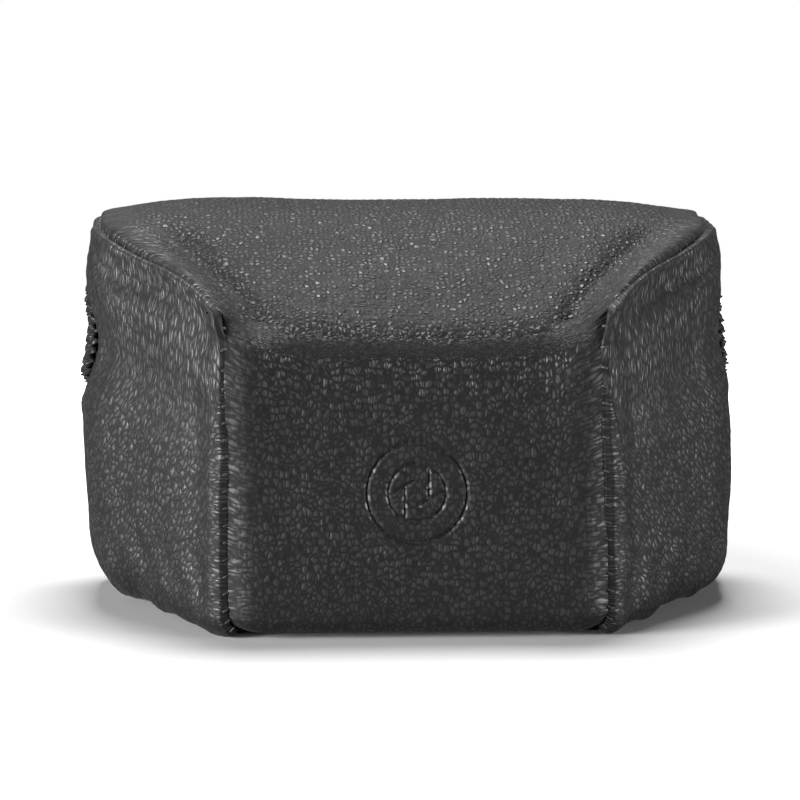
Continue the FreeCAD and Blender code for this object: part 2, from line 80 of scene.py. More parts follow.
# ---- driving sizes: the CAD's outlines, read from the frame where a box gives them ----
BODY_HALF_WIDTH = round(wing_high[0])
NOSE_HALF_WIDTH = 44.8
NOSE_FRONT_Y = strip_low[1] - 0.1
WING_FRONT_Y = -42.0
BACK_Y = round(back_high[1], 1)
FLAP_Y = round(flap_high[1], 1)
FLAP_FOOT_Z = round(flap_low[2])
FLAP_HALF_WIDTH = flap_high[0]
FLAP_CORNER = 17.0
FLAP_EDGE_CURL = 2.4
TOP_Z = strip_high[2] + 0.2
NOSE_TOP_Z = 73.0
SEAM_CORNER_Z = 75.5
SHOULDER_Z = 89.3
MOUTH_Z = 32.0
LOW_BACK_HALF_WIDTH = 64.9
FOOT_Z = 0.3
HINGE_SHARE = 0.6735
HINGE_HALF_WIDTH = 65.0
ROLL_IN = (5.0, 8.0, 6.0)
ROLL_UP = (6.0, 13.0, 8.0)

LEATHER = 1.4
BOARD = 0.6
BOARD_DEPTH = 1.48
LINING_DEPTH = 2.16
LINING = 0.7
NOTCH_Z = 0.5 * (ear_low[2] + ear_high[2])
NOTCH_HALF_HEIGHT = 16.5
NOTCH_DEPTH = 41.0
EAR_HALF_HEIGHT = 0.5 * (ear_high[2] - ear_low[2])
EAR_FRONT_Y = ear_low[1]
EAR_OUTER_X = ear_high[0]
EAR_OVAL_DEPTH = 26.0
EAR_ROUNDING = 0.8
STITCH_INSET = 3.0
SNAP_Z = 0.5 * (cap_low[2] + cap_high[2])
SNAP_X = cap_high[0] - 0.5 * (cap_high[2] - cap_low[2])
SNAP_HOLE_R = 3.0
FLAP_LIP = 0.07      # the flap's root runs this share of its height under the top

EMBLEM_Z = 34.4      # height of the pressed ring's centre on the nose
EMBLEM_R = 11.5
IRIS_R = 6.6
IRIS_BLADES = 6

LEAST_HIDE = 0.5     # the hide's inside stays at least this far under the plain surface
SEAM_STITCH_PITCH = 3.6
SEAM_STITCH_REACH = 1.1
SEAM_STITCH_DEPTH = 1.15
THREAD_R = 0.24
THREAD_SIDES = 8
EAR_STITCHES = 12
EAR_STITCH_SHARE = 0.83      # where the stitches run, as a share of the ear's length
ELASTIC_SHARE = 0.9
ELASTIC_R = 0.72
EDGING_R = 0.78
WING_SEEDS = {True: 5.0, False: 8.0}     # noise seeds of the mirrored and the plain wing

GRID = 0.5      # spacing of the leather's mesh
FINE = 0.28     # spacing across the pressed emblem


# ---- small helpers ----
def smooth(x):
    x = np.clip(x, 0.0, 1.0)
    return x * x * (3.0 - 2.0 * x)


def unit(v):
    return v / np.maximum(np.linalg.norm(v, axis=-1, keepdims=True), 1e-12)


def hump(x, centre, width):
    return np.exp(-((x - centre) / width) ** 2)


def groove(distance, width):
    return hump(distance, 0.0, width)


def mirrored(points, mirror):
    return points * (-1, 1, 1) if mirror else points


class RoundedPath:
    """A polyline with rounded inner corners, walked by share of its length."""

    def __init__(self, corners, radii):
        points = [np.array(corner, float) for corner in corners]
        self.pieces = []
        start = points[0]
        for before, corner, after, radius in zip(points, points[1:], points[2:], radii):
            back, ahead = unit(before - corner), unit(after - corner)
            half = 0.5 * math.acos(back @ ahead)
            reach = radius / math.tan(half)
            centre = corner + unit(back + ahead) * (radius / math.sin(half))
            entry = corner + back * reach
            self.add_line(start, entry)
            turn = math.pi - 2.0 * half
            first = unit(entry - centre)
            second = unit((corner + ahead * reach - centre) - first * radius * math.cos(turn))
            self.pieces.append((radius * turn, centre, first * radius, second * radius, turn))
            start = corner + ahead * reach
        self.add_line(start, points[-1])
        self.length = sum(piece[0] for piece in self.pieces)

    def add_line(self, start, end):
        self.pieces.append((np.linalg.norm(end - start), start, end - start, None, 0.0))

    def at(self, share):
        walked = np.asarray(share, float) * self.length
        result = np.zeros(walked.shape + (3,))
        begin = 0.0
        for number, (length, origin, first, second, turn) in enumerate(self.pieces):
            low = -np.inf if number == 0 else begin
            high = np.inf if number == len(self.pieces) - 1 else begin + length
            inside = (walked >= low) & (walked < high)
            part = ((walked[inside] - begin) / length)[:, None]
            if second is None:
                result[inside] = origin + first * part
            else:
                result[inside] = origin + first * np.cos(turn * part) + second * np.sin(turn * part)
            begin += length
        return result


WING_PLAN = RoundedPath(
    [(NOSE_HALF_WIDTH, WING_FRONT_Y, 0), (BODY_HALF_WIDTH, 0, 0),
     (BODY_HALF_WIDTH, BACK_Y, 0), (LOW_BACK_HALF_WIDTH, BACK_Y, 0)], [28.0, 12.0])
TOP_SEAM = RoundedPath(
    [(46.0, -37.0, SEAM_CORNER_Z), (72.6, 4.0, SHOULDER_Z), (72.4, 37.4, SHOULDER_Z - 0.5),
     (HINGE_HALF_WIDTH, 37.4, SHOULDER_Z - 0.4)], [22.0, 6.0])
TOP_SEAM_PLAN = (np.array([46.0, -37.0]), np.array([72.6, 4.0]))
SPINE = RoundedPath(
    [(-36.0, FOOT_Z, 0), (NOSE_FRONT_Y, FOOT_Z, 0), (-39.5, NOSE_TOP_Z, 0), (2.0, TOP_Z, 0),
     (FLAP_Y, TOP_Z - 1.0, 0), (FLAP_Y, FLAP_FOOT_Z, 0)], [5.0, 10.0, 45.0, 11.0])
EAR_ROOT_X = FLAP_HALF_WIDTH + 1.5
EAR_ROOT_Y = FLAP_Y - FLAP_EDGE_CURL
EAR_PLAN = RoundedPath(
    [(EAR_ROOT_X, EAR_ROOT_Y, 0), (EAR_OUTER_X, EAR_ROOT_Y - 0.9, 0),
     (EAR_OUTER_X, EAR_FRONT_Y, 0)], [8.0])


# ---- outer surfaces of the panels ----
def point(x, y, z):
    return np.stack(np.broadcast_arrays(x, y, z), -1)


def along_wing(values, s):
    front, side, back = values
    return front + (side - front) * smooth(s / 0.45) + (back - side) * smooth((s - 0.72) / 0.2)


def wing(s, t):
    """Right wing: s from the nose seam to the back, t from the base to the top seam."""
    side, top = WING_PLAN.at(s), TOP_SEAM.at(s)
    roll_in, roll_up = along_wing(ROLL_IN, s), along_wing(ROLL_UP, s)
    roll_share, crown = 0.16, 15.0
    step = WING_PLAN.at(s + 0.004) - WING_PLAN.at(s - 0.004)
    way_in = unit(point(-step[..., 1], step[..., 0], 0.0))
    angle = 0.5 * math.pi * np.minimum(t / roll_share, 1.0)
    z = FOOT_Z + (roll_up - FOOT_Z) * (1.0 - np.cos(angle))
    straight = np.maximum(0.0, (t - roll_share) / (1.0 - roll_share))
    z = z + (top[..., 2] - roll_up) * straight
    place = side + way_in * (roll_in * (1.0 - np.sin(angle)))[..., None]
    lean = np.maximum(0.0, (z - top[..., 2] + crown) / crown) ** 2.2
    return point(place[..., 0] + (top[..., 0] - side[..., 0]) * lean,
                 place[..., 1] + (top[..., 1] - side[..., 1]) * lean, z)


HINGE_LINE = SPINE.at(HINGE_SHARE)
STRIP_END = np.array([HINGE_HALF_WIDTH, HINGE_LINE[0], HINGE_LINE[1]])
FREE_LENGTH = np.linalg.norm(STRIP_END - TOP_SEAM.at(1.0))
SEAM_SPAN = SEAM_CORNER_Z + TOP_SEAM.length + FREE_LENGTH


def strip_edge(v):
    """Right edge of the centre strip: up the nose, along the top seam, out to the hinge line."""
    walked = np.asarray(v, float) * SEAM_SPAN
    up = wing(np.zeros_like(walked), np.minimum(walked / SEAM_CORNER_Z, 1.0))
    over = TOP_SEAM.at(np.clip((walked - SEAM_CORNER_Z) / TOP_SEAM.length, 0.0, 1.0))
    share = ((walked - SEAM_CORNER_Z - TOP_SEAM.length) / FREE_LENGTH)[..., None]
    free = TOP_SEAM.at(1.0) + (STRIP_END - TOP_SEAM.at(1.0)) * share
    edge = np.where((walked <= SEAM_CORNER_Z)[..., None], up, over)
    return np.where(share > 0, free, edge)


def strip(u, v):
    """Centre strip: u from -1 to 1 across, v from the base over the nose to the hinge line."""
    spine = SPINE.at(v * HINGE_SHARE)
    edge = strip_edge(v)
    drop = np.abs(u) ** 5
    return point(u * edge[..., 0], spine[..., 0] + (edge[..., 1] - spine[..., 0]) * drop,
                 spine[..., 1] + (edge[..., 2] - spine[..., 1]) * drop)


def edge_curl(x):
    return FLAP_EDGE_CURL * np.abs(x / FLAP_HALF_WIDTH) ** 12


def flap(u, t):
    """Flap: u from -1 to 1 across, t from the hinge line to the foot, with rounded foot corners."""
    spine = SPINE.at(HINGE_SHARE + (1.0 - HINGE_SHARE) * t)
    half = HINGE_HALF_WIDTH + (FLAP_HALF_WIDTH - HINGE_HALF_WIDTH) * smooth(t / 0.14)
    low = np.clip((FLAP_FOOT_Z + FLAP_CORNER - spine[..., 1]) / FLAP_CORNER, 0.0, 1.0)
    half = half - FLAP_CORNER * (1.0 - np.sqrt(1.0 - low ** 2))
    x = u * half
    return point(x, spine[..., 0] - edge_curl(x) * smooth(t / 0.25), spine[..., 1])


def low_back(u, t):
    """Low back panel: u from -1 to 1 across, t from the base to the mouth."""
    half = wing(np.ones(1), np.zeros(1))[0, 0]
    angle = 0.5 * math.pi * np.minimum(t / 0.3, 1.0)
    z = FOOT_Z + (ROLL_UP[2] - FOOT_Z) * (1.0 - np.cos(angle))
    z = z + (MOUTH_Z - ROLL_UP[2]) * np.maximum(0.0, (t - 0.3) / 0.7)
    return point(u * half, BACK_Y - ROLL_IN[2] * (1.0 - np.sin(angle)), z)


def base(u, b):
    """Base: u from -1 to 1 across, b from the nose to the back."""
    edge = wing(b, np.zeros_like(b))
    corner_y = wing(np.zeros(1), np.zeros(1))[0, 1]
    front = SPINE.at(0.0)[0]
    share = (edge[..., 1] - corner_y) / (BACK_Y - ROLL_IN[2] - corner_y)
    return point(u * edge[..., 0], edge[..., 1] + (front - corner_y) * (1.0 - share), 0.0)


def ear(a, b):
    """Right ear: a from its root at the flap to its curved front edge, b from foot to head."""
    height = 2.0 * b - 1.0
    front_drop = EAR_OVAL_DEPTH * (1.0 - np.sqrt(1.0 - EAR_ROUNDING * height ** 2))
    plan = EAR_PLAN.at(a * (1.0 - front_drop / EAR_PLAN.length))
    return point(plan[..., 0], plan[..., 1], NOTCH_Z + height * EAR_HALF_HEIGHT)


# ---- meshes ----
def way_in(points):
    """Direction from points on the case towards its inside, not to unit length."""
    return point(-0.4 * points[..., 0], 4.0 - 0.8 * points[..., 1], 25.0 - 0.55 * points[..., 2])


def outward(grid):
    """Unit normals of a grid of points, on the side that faces out of the case."""
    normal = unit(np.cross(np.gradient(grid, axis=0), np.gradient(grid, axis=1)))
    facing = np.sign(-(normal * way_in(grid)).sum(-1).mean())
    return normal * facing


def hide_faces(plain, normal, relief):
    """Outer and inner face of a panel of hide with this relief."""
    outer = plain + normal * relief[..., None]
    return outer, plain - normal * np.maximum(LEATHER, LEAST_HIDE - relief)[..., None]


def shell(name, outer, inner, keep=None, mirror=False, lays=None):
    """A closed sheet between two matching grids of points, made only where keep is true."""
    outer, inner = mirrored(outer, mirror), mirrored(inner, mirror)
    outer, inner = outer + sag(outer), inner + sag(inner)
    rows, columns = outer.shape[:2]
    if keep is None:
        keep = np.ones((rows - 1, columns - 1), bool)
    index = np.arange(rows * columns).reshape(rows, columns)
    under = index + rows * columns
    corners = (index[:-1, :-1], index[1:, :-1], index[1:, 1:], index[:-1, 1:])
    quad = np.stack([corner[keep] for corner in corners], -1)
    faces = [quad, quad[:, ::-1] + rows * columns]
    framed = np.pad(keep, 1)
    sides = ((framed[:-2, 1:-1], corners[0], corners[3]), (framed[1:-1, 2:], corners[3], corners[2]),
             (framed[2:, 1:-1], corners[2], corners[1]), (framed[1:-1, :-2], corners[1], corners[0]))
    for neighbour, start, end in sides:
        rim = keep & ~neighbour
        first, last = start[rim], end[rim]
        faces.append(np.stack([first, last, last + rows * columns, first + rows * columns], -1))
    faces = np.concatenate(faces)
    middle = quad[len(quad) // 2]
    flat = outer.reshape(-1, 3)
    turned = np.cross(flat[middle[1]] - flat[middle[0]], flat[middle[3]] - flat[middle[0]])
    if turned @ (flat[middle[0]] - inner.reshape(-1, 3)[middle[0]]) < 0:
        faces = faces[:, ::-1]
    used = np.unique(faces)
    renumber = np.zeros(under.max() + 1, int)
    renumber[used] = np.arange(len(used))
    vertices = np.concatenate([flat, inner.reshape(-1, 3)])[used]
    piece = mesh_object(name, vertices, renumber[faces].tolist())
    if lays is not None:
        keep_lays(piece, used, *lays)
    return piece


def keep_lays(piece, used, open_lay, seam_lay, beside, strength):
    """Leaves the lay of the grain on the mesh, where the leather material reads it."""
    attributes = piece.data.attributes
    for label, lay in (("open_lay", open_lay), ("seam_lay", seam_lay)):
        flat = np.concatenate([lay.reshape(-1, 3)] * 2)[used].astype(np.float32)
        attributes.new(label, "FLOAT_VECTOR", "POINT").data.foreach_set("vector", flat.ravel())
    for label, values in (("beside_seam", beside), ("grain_strength", strength)):
        flat = np.concatenate([np.broadcast_to(values, open_lay.shape[:-1]).ravel()] * 2)[used]
        attributes.new(label, "FLOAT", "POINT").data.foreach_set("value", flat.astype(np.float32))


def mesh_object(name, vertices, faces, smooth_shaded=True):
    mesh = bpy.data.meshes.new(name)
    mesh.from_pydata((vertices * MM).tolist(), [], faces)
    mesh.validate()
    mesh.polygons.foreach_set("use_smooth", np.full(len(mesh.polygons), smooth_shaded))
    mesh.update()
    piece = bpy.data.objects.new(name, mesh)
    bpy.context.scene.collection.objects.link(piece)
    return piece


def walls(rings, sides, begin=0):
    """Faces that join rings of vertices, one ring after the other."""
    faces = []
    for i in range(rings - 1):
        corner = begin + i * sides
        for j in range(sides):
            k = (j + 1) % sides
            faces.append((corner + j, corner + k, corner + sides + k, corner + sides + j))
    return faces


def tube(name, path, radii, mirror, sides=12):
    """A round closed cord along an array of points, with a radius at each."""
    path = mirrored(path, mirror)
    path = path + sag(path)
    along = unit(np.gradient(path, axis=0))
    helper = np.where(np.abs(along[:, :1]) < 0.9, np.array([1.0, 0, 0]), np.array([0, 1.0, 0]))
    across = unit(np.cross(along, helper))
    other = np.cross(along, across)
    turns = np.linspace(0, 2 * math.pi, sides, endpoint=False)
    ring = (across[:, None] * np.cos(turns)[:, None] + other[:, None] * np.sin(turns)[:, None])
    vertices = (path[:, None] + ring * radii[:, None, None]).reshape(-1, 3)
    faces = walls(len(path), sides)
    count = len(vertices)
    vertices = np.concatenate([vertices, path[:1], path[-1:]])
    for j in range(sides):
        k = (j + 1) % sides
        faces.append((count, k, j))
        faces.append((count + 1, count - sides + j, count - sides + k))
    return mesh_object(name, vertices, faces)


def spaced(low, high, length, step):
    return np.linspace(low, high, max(3, int(round(length / step)) + 1))


def grid_of(a_values, b_values):
    return np.meshgrid(a_values, b_values, indexing="ij")


def cell_middles(grid):
    return 0.25 * (grid[1:, 1:] + grid[:-1, 1:] + grid[1:, :-1] + grid[:-1, :-1])


def noise_field(points, size, seed):
    """Smooth noise of about this wavelength, from -1 to 1, at each point of a grid."""
    flat = points.reshape(-1, 3) / size + seed * 17.3
    values = [noise.noise(Vector(p)) for p in flat]
    return np.array(values).reshape(points.shape[:-1])


# ---- leather grain, as relief of the mesh itself ----
def hashed(i, j, seed):
    """A fixed pseudo-random number from 0 to 1 for each pair of whole numbers."""
    mixed = (i * 73856093) ^ (j * 19349663) ^ (seed * 83492791)
    mixed = (mixed ^ (mixed >> 13)) * 1274126177
    return ((mixed ^ (mixed >> 16)) & 0xFFFF) / 65535.0


def pebbles(a, b, seed):
    """Rounded pebbles about one unit across: 0 in the creases between them, 1 on their crowns."""
    i, j = np.floor(a).astype(np.int64), np.floor(b).astype(np.int64)
    first = np.full(a.shape, 9.0)
    second = np.full(a.shape, 9.0)
    for di in (-1, 0, 1):
        for dj in (-1, 0, 1):
            away_a = i + di + 0.12 + 0.76 * hashed(i + di, j + dj, seed) - a
            away_b = j + dj + 0.12 + 0.76 * hashed(i + di, j + dj, seed + 57) - b
            away = np.hypot(away_a, away_b)
            second = np.where(away < first, first, np.minimum(second, away))
            first = np.minimum(first, away)
    return np.sqrt(np.clip((second - first) / 0.75, 0.0, 1.0))


def wandered(a, b, seed, reach, size):
    """Moves a panel's flat coordinates about a little, so that rows of pebbles don't run straight."""
    place = point(a, b, 0.0)
    return a + reach * noise_field(place, size, seed), b + reach * noise_field(place, size, seed + 5)


def grain_lay(a, b, seed, size, stretch=1.0, turn=0.0):
    """Where each point lies in the grain, counted in pebbles along and across their long side."""
    a, b = wandered(a, b, seed, 0.5, 2.6)
    along = a * math.cos(turn) + b * math.sin(turn)
    across = -a * math.sin(turn) + b * math.cos(turn)
    return point(along / (size * stretch), across / size, 10.0 * seed)


def pucker_lay(distance, along, seed, pitch=1.0, length=4.5):
    """The same for the fine wrinkles that run away from a seam at right angles."""
    wander = 0.7 * noise_field(point(along, distance * 0.5, 7.0), 3.0, seed)
    return point(distance / length, (along + wander) / pitch, 10.0 * seed)


def mixed_grain(open_lay, seam_lay, beside, seed):
    """Height of the grain in the mesh, from 0 in the creases to 1 on the crowns."""
    scale = 0.62
    loose = pebbles(open_lay[..., 0] * scale, open_lay[..., 1] * scale, seed)
    combed = pebbles(seam_lay[..., 0] * scale, seam_lay[..., 1] * scale, seed + 31)
    return loose * (1.0 - beside) + combed * beside


def open_grain(a, b, seed, size, strength, mesh_seed=None):
    """Grain of a panel with no seam puckers: its height in the mesh, and the lays for the material."""
    lay = grain_lay(a, b, seed, size)
    hide = mixed_grain(lay, lay, 0.0, seed if mesh_seed is None else mesh_seed)
    return hide, (lay, lay, 0.0, strength)


# ---- soft relief ----
def seam_relief(distance, along, seed, tuck, roll, puff, width):
    """A turned seam: a tight groove, an edge rolled down into it, and a puffed band beside it."""
    relief = puff * hump(distance, width, 0.8 * width)
    relief = relief - tuck * np.exp(-(distance / 0.6) ** 2) - roll * np.exp(-(distance / 3.6) ** 2)
    ripple = np.sin(along / 1.7 + 2.3 * np.sin(along / 7.7 + seed)) + 0.8 * np.sin(along / 3.1 + seed * 2.0)
    return relief + 0.10 * ripple * hump(distance, 0.7 * width, 0.8 * width)


def general_relief(points, seed, coarse, medium):
    return coarse * noise_field(points, 21.0, seed) + medium * noise_field(points, 6.5, seed + 3)


def spot(points, centre, radius, height):
    """A soft round swelling or dent."""
    away = np.linalg.norm(points - np.array(centre), axis=-1)
    return height * np.exp(-(away / radius) ** 2)


def emblem_relief(x, z):
    """A ring pressed into the hide, with a plain iris of six blades inside it."""
    z = z - EMBLEM_Z
    radius = np.hypot(x, z)
    depth = 0.62 * groove(radius - EMBLEM_R, 0.42)
    depth = np.maximum(depth, 0.55 * groove(radius - IRIS_R, 0.4))
    opening = 0.42 * IRIS_R
    for blade in range(IRIS_BLADES):
        turn = 2.0 * math.pi * blade / IRIS_BLADES
        across = x * math.cos(turn) + z * math.sin(turn)
        along = -x * math.sin(turn) + z * math.cos(turn)
        start = -opening * math.tan(math.pi / IRIS_BLADES)
        reach = math.sqrt(IRIS_R ** 2 - opening ** 2)
        line = (along > start) & (along < reach)
        depth = np.maximum(depth, np.where(line, 0.52 * groove(across - opening, 0.38), 0.0))
    return -depth


def sag(points):
    """The lean and slump of the soft case, felt by every piece made here."""
    x, y, z = points[..., 0], points[..., 1], points[..., 2]
    left = x < 0
    wide = np.abs(x)
    side = smooth((wide - 45.0) / 28.0)
    belly_left = 0.3 * hump(z, 43.0, 9.0) - 0.6 * hump(z, 25.0, 14.0) - 3.3 * hump(z, 64.0, 13.0)
    belly_left = belly_left + 0.9 * hump(z, 89.0, 6.0)
    belly_right = 0.3 * hump(z, 30.0, 14.0) - 0.5 * hump(z, 8.0, 8.0) - 3.0 * hump(z, 69.0, 17.0)
    low = smooth((34.0 - z) / 34.0)
    shift = np.where(left, 3.0 * low - belly_left, belly_right) * side
    lean = 1.2 * (1.0 - z / 37.0) * hump(x, 46.0, 16.0) * smooth((5.0 - y) / 30.0) * smooth((85.0 - z) / 20.0)
    lift = np.where(left, 3.0, 2.4) * side * low * smooth(y / -60.0 + 0.6)
    lift = lift + 1.1 * smooth((-10.0 - x) / 45.0) * smooth((z - 80.0) / 12.0)
    lift = lift - 1.3 * smooth((wide - 50.0) / 14.0) * smooth((y - 34.0) / 4.0) * smooth((z - 86.0) / 4.0)
    nose = smooth((-18.0 - y) / 14.0) * hump(z, 76.0, 9.0)
    lift = lift - 1.3 * nose * hump(x, 6.0, 22.0)
    lift = lift + raised_seam(wide, y) * smooth((z - 58.0) / 16.0)
    return point(shift + lean, 0.0, lift)


def raised_seam(x, y):
    """The diagonal seam stands up as a ridge between the ramp and the wings."""
    start, end = TOP_SEAM_PLAN
    way = unit(end - start)
    along = (x - start[0]) * way[0] + (y - start[1]) * way[1]
    away = (x - start[0]) * way[1] - (y - start[1]) * way[0]
    return 3.2 * hump(along, 13.0, 19.0) * hump(away, 0.0, 8.0)


# ---- leather panels ----
def strip_values():
    """Shares across and up the centre strip, closer together over the emblem."""
    across = np.concatenate([
        spaced(-1.0, -0.95, 3, FINE)[:-1], spaced(-0.95, -0.28, 49, GRID)[:-1],
        spaced(-0.28, 0.28, 26, FINE)[:-1],
        spaced(0.28, 0.95, 49, GRID)[:-1], spaced(0.95, 1.0, 3, FINE)])
    low, high = 19.0, 51.0
    up = np.concatenate([
        spaced(0.0, low / SEAM_SPAN, low, GRID)[:-1],
        spaced(low / SEAM_SPAN, high / SEAM_SPAN, high - low, FINE)[:-1],
        spaced(high / SEAM_SPAN, 1.0, SEAM_SPAN - high, GRID)])
    return grid_of(across, up)


def strip_relief(u, v, plain):
    """Folds, puffs and dents of the centre strip, without its grain."""
    walked = v * SEAM_SPAN
    on_top = smooth((walked - SEAM_CORNER_Z + 3.0) / 6.0)
    to_seam = strip_to_seam(u, v)
    along = walked + 40.0 * (u > 0)
    to_hinge = (1.0 - v) * SEAM_SPAN
    face = seam_relief(to_seam, along, 1.0, 1.3, 1.7, 0.4, 7.0)
    top = seam_relief(to_seam, along, 1.0, 1.9, 0.0, 0.3, 2.4)
    relief = (face * (1.0 - on_top) + top * on_top) * smooth((to_hinge - 8.0) / 10.0)
    ramp = smooth((walked - SEAM_CORNER_Z - 2.0) / 6.0) * smooth((128.0 - walked) / 12.0)
    relief -= 1.8 * hump(to_seam, 11.0, 3.8) * ramp
    relief += 0.5 * smooth(1.0 - np.abs(u)) * smooth(walked / 20.0) * smooth((70.0 - walked) / 20.0)
    for side in (-1, 1):
        relief += spot(plain, (side * 38.0, -38.0, 73.0), 5.0, -1.1)
        relief += spot(plain, (side * 37.5, -43.0, 62.0), 9.0, 0.8)
    relief += spot(plain, (6.0, -41.0, 70.0), 16.0, -0.5)
    relief += spot(plain, (-14.0, -20.0, 84.0), 12.0, 0.5)
    relief += spot(plain, (22.0, -8.0, 91.0), 13.0, 0.4)
    relief += general_relief(plain, 1, 0.35, 0.12)
    return relief - 1.3 * hump(walked, 0.0, 9.0) - 0.9 * groove(walked, 1.2) - 0.7 * groove(to_hinge, 0.5)


def strip_to_seam(u, v):
    """Distance over the strip to the nearer side seam."""
    on_top = smooth((v * SEAM_SPAN - SEAM_CORNER_Z + 3.0) / 6.0)
    return (1.0 - np.abs(u)) * strip_edge(v)[..., 0] * (1.0 - 0.18 * on_top)


def make_strip():
    u, v = strip_values()
    plain = strip(u, v)
    normal = outward(plain)
    x, z = plain[..., 0], plain[..., 2]
    walked = v * SEAM_SPAN
    on_top = smooth((walked - SEAM_CORNER_Z + 3.0) / 6.0)
    to_seam = strip_to_seam(u, v)
    relief = strip_relief(u, v, plain)
    emblem = smooth((60.0 - walked) / 6.0)
    relief += emblem_relief(x, z) * emblem
    drawn = 1.0 + 0.35 * (1.0 - on_top)
    open_lay = grain_lay(x, walked / drawn + 12.0 * on_top, 3, 1.25)
    seam_lay = pucker_lay(to_seam, walked + 40.0 * (u > 0), 2)
    beside = np.exp(-(to_seam / 6.5) ** 2)
    hide = mixed_grain(open_lay, seam_lay, beside, 3)
    flat = 1.0 - 0.6 * groove(np.hypot(x, z - EMBLEM_Z) - EMBLEM_R, 1.2) * emblem
    strength = 0.45 + 0.7 * on_top + 0.6 * hump(walked, 80.0, 12.0) - 0.25 * smooth((24.0 - walked) / 20.0)
    on_emblem = smooth((EMBLEM_R + 2.0 - np.hypot(x, z - EMBLEM_Z)) / 2.0) * emblem
    strength = strength * flat * (1.0 - 0.4 * beside) * (1.0 - 0.7 * on_emblem)
    relief += 0.15 * strength * (hide - 0.5)
    lays = (open_lay, seam_lay, beside, strength)
    piece = shell("nose_top_hide", *hide_faces(plain, normal, relief), lays=lays)
    finish(piece, "case", "nose_top_leather", grain="pebble")


def notch_distance(points):
    """Signed distance, roughly, outside the oval strap opening."""
    y, z = (points[..., 1] - FLAP_Y) / NOTCH_DEPTH, (points[..., 2] - NOTCH_Z) / NOTCH_HALF_HEIGHT
    value = np.sqrt(y ** 2 + z ** 2)
    slope = np.hypot(y / NOTCH_DEPTH, z / NOTCH_HALF_HEIGHT) / np.maximum(value, 1e-6)
    return (value - 1.0) / np.maximum(slope, 1e-6)


def cut_notch(surface, s, t, grow=0.0):
    """Moves the grid's lines onto the opening's rim, and says which cells lie outside it."""
    keep = notch_distance(surface(cell_middles(s), cell_middles(t))) > grow
    framed = np.pad(keep, 1, mode="edge")
    blocks = np.stack([framed[:-1, :-1], framed[1:, :-1], framed[:-1, 1:], framed[1:, 1:]])
    rim = blocks.any(0) & ~blocks.all(0)
    step = 1e-4
    for _ in range(6):
        here = notch_distance(surface(s[rim], t[rim])) - grow
        ds = (notch_distance(surface(s[rim] + step, t[rim])) - grow - here) / step
        dt = (notch_distance(surface(s[rim], t[rim] + step)) - grow - here) / step
        scale = here / np.maximum(ds ** 2 + dt ** 2, 1e-9)
        s[rim] -= scale * ds
        t[rim] -= scale * dt
    return keep


def wing_relief(s, t, plain, seed):
    """Folds, puffs and dents of a wing, without its grain."""
    z = plain[..., 2]
    from_front = s * WING_PLAN.length
    from_top = (1.0 - t) * wing_height(s)
    relief = seam_relief(from_front, z, seed, 1.4, 0.4, 0.6, 3.6)
    relief += seam_relief(from_top, from_front, seed + 1.0, 1.5, 0.0, 0.5, 1.5)
    relief -= 0.4 * hump(from_front, 10.0, 3.0) * smooth((66.0 - z) / 16.0)
    shoulder = smooth(from_front / 8.0) * smooth((60.0 - from_front) / 20.0)
    relief += (0.5 * hump(from_top, 17.0, 6.0) - 1.4 * hump(from_top, 6.5, 3.4)) * shoulder
    relief += spot(plain, (45.8, -40.0, 71.5), 2.6, 0.9) + spot(plain, (49.5, -38.0, 68.0), 4.0, -1.0)
    relief += general_relief(plain, seed, 0.55, 0.15)
    low = smooth((34.0 - z) / 30.0) * smooth(from_front / 8.0)
    relief += 0.35 * low * np.sin(from_front / 3.4 + seed + z / 5.0)
    relief += 0.25 * low * np.sin(from_front / 1.9 - z / 3.6 + 2.0 * seed)
    rim = np.maximum(notch_distance(plain), 0.0)
    relief += 0.5 * hump(rim, 2.6, 2.0) - 0.9 * groove(rim, 0.9)
    return relief - 0.9 * groove(t * 90.0, 1.2) - 0.7 * groove((1.0 - s) * WING_PLAN.length, 0.8)


def wing_height(s):
    return wing(s, np.ones_like(s))[..., 2]


def make_wing(name, mirror):
    back = np.concatenate([spaced(0.0, 0.03, 3.4, FINE)[:-1], spaced(0.03, 1.0, 111.0, GRID)])
    up = np.concatenate([spaced(0.0, 0.965, 86.0, GRID)[:-1], spaced(0.965, 1.0, 3.2, FINE)])
    s, t = grid_of(back, up)
    keep = cut_notch(wing, s, t)
    plain = wing(s, t)
    normal = outward(plain)
    seed = WING_SEEDS[mirror]
    relief = wing_relief(s, t, plain, seed)
    from_front, from_top = s * WING_PLAN.length, (1.0 - t) * wing_height(s)
    high = smooth((40.0 - from_top) / 26.0) * smooth((60.0 - from_front) / 20.0)
    by_front = np.exp(-(from_front / 4.5) ** 2)
    open_lay = grain_lay(from_front, plain[..., 2], seed + 3, 1.15, 2.0, -0.9 if mirror else -0.75)
    nearest = by_front > high
    to_seam = np.where(nearest, from_front, from_top)
    seam_lay = pucker_lay(to_seam, np.where(nearest, plain[..., 2], from_front), seed, 0.85, 2.8)
    beside = np.maximum(by_front, high)
    hide = mixed_grain(open_lay, seam_lay, beside, int(seed))
    relief += 0.12 * (hide - 0.5)
    lays = (open_lay, seam_lay, beside, 0.55)
    piece = shell(name + "_hide", *hide_faces(plain, normal, relief), keep, mirror, lays)
    finish(piece, "case", name + "_leather", grain="stretched")


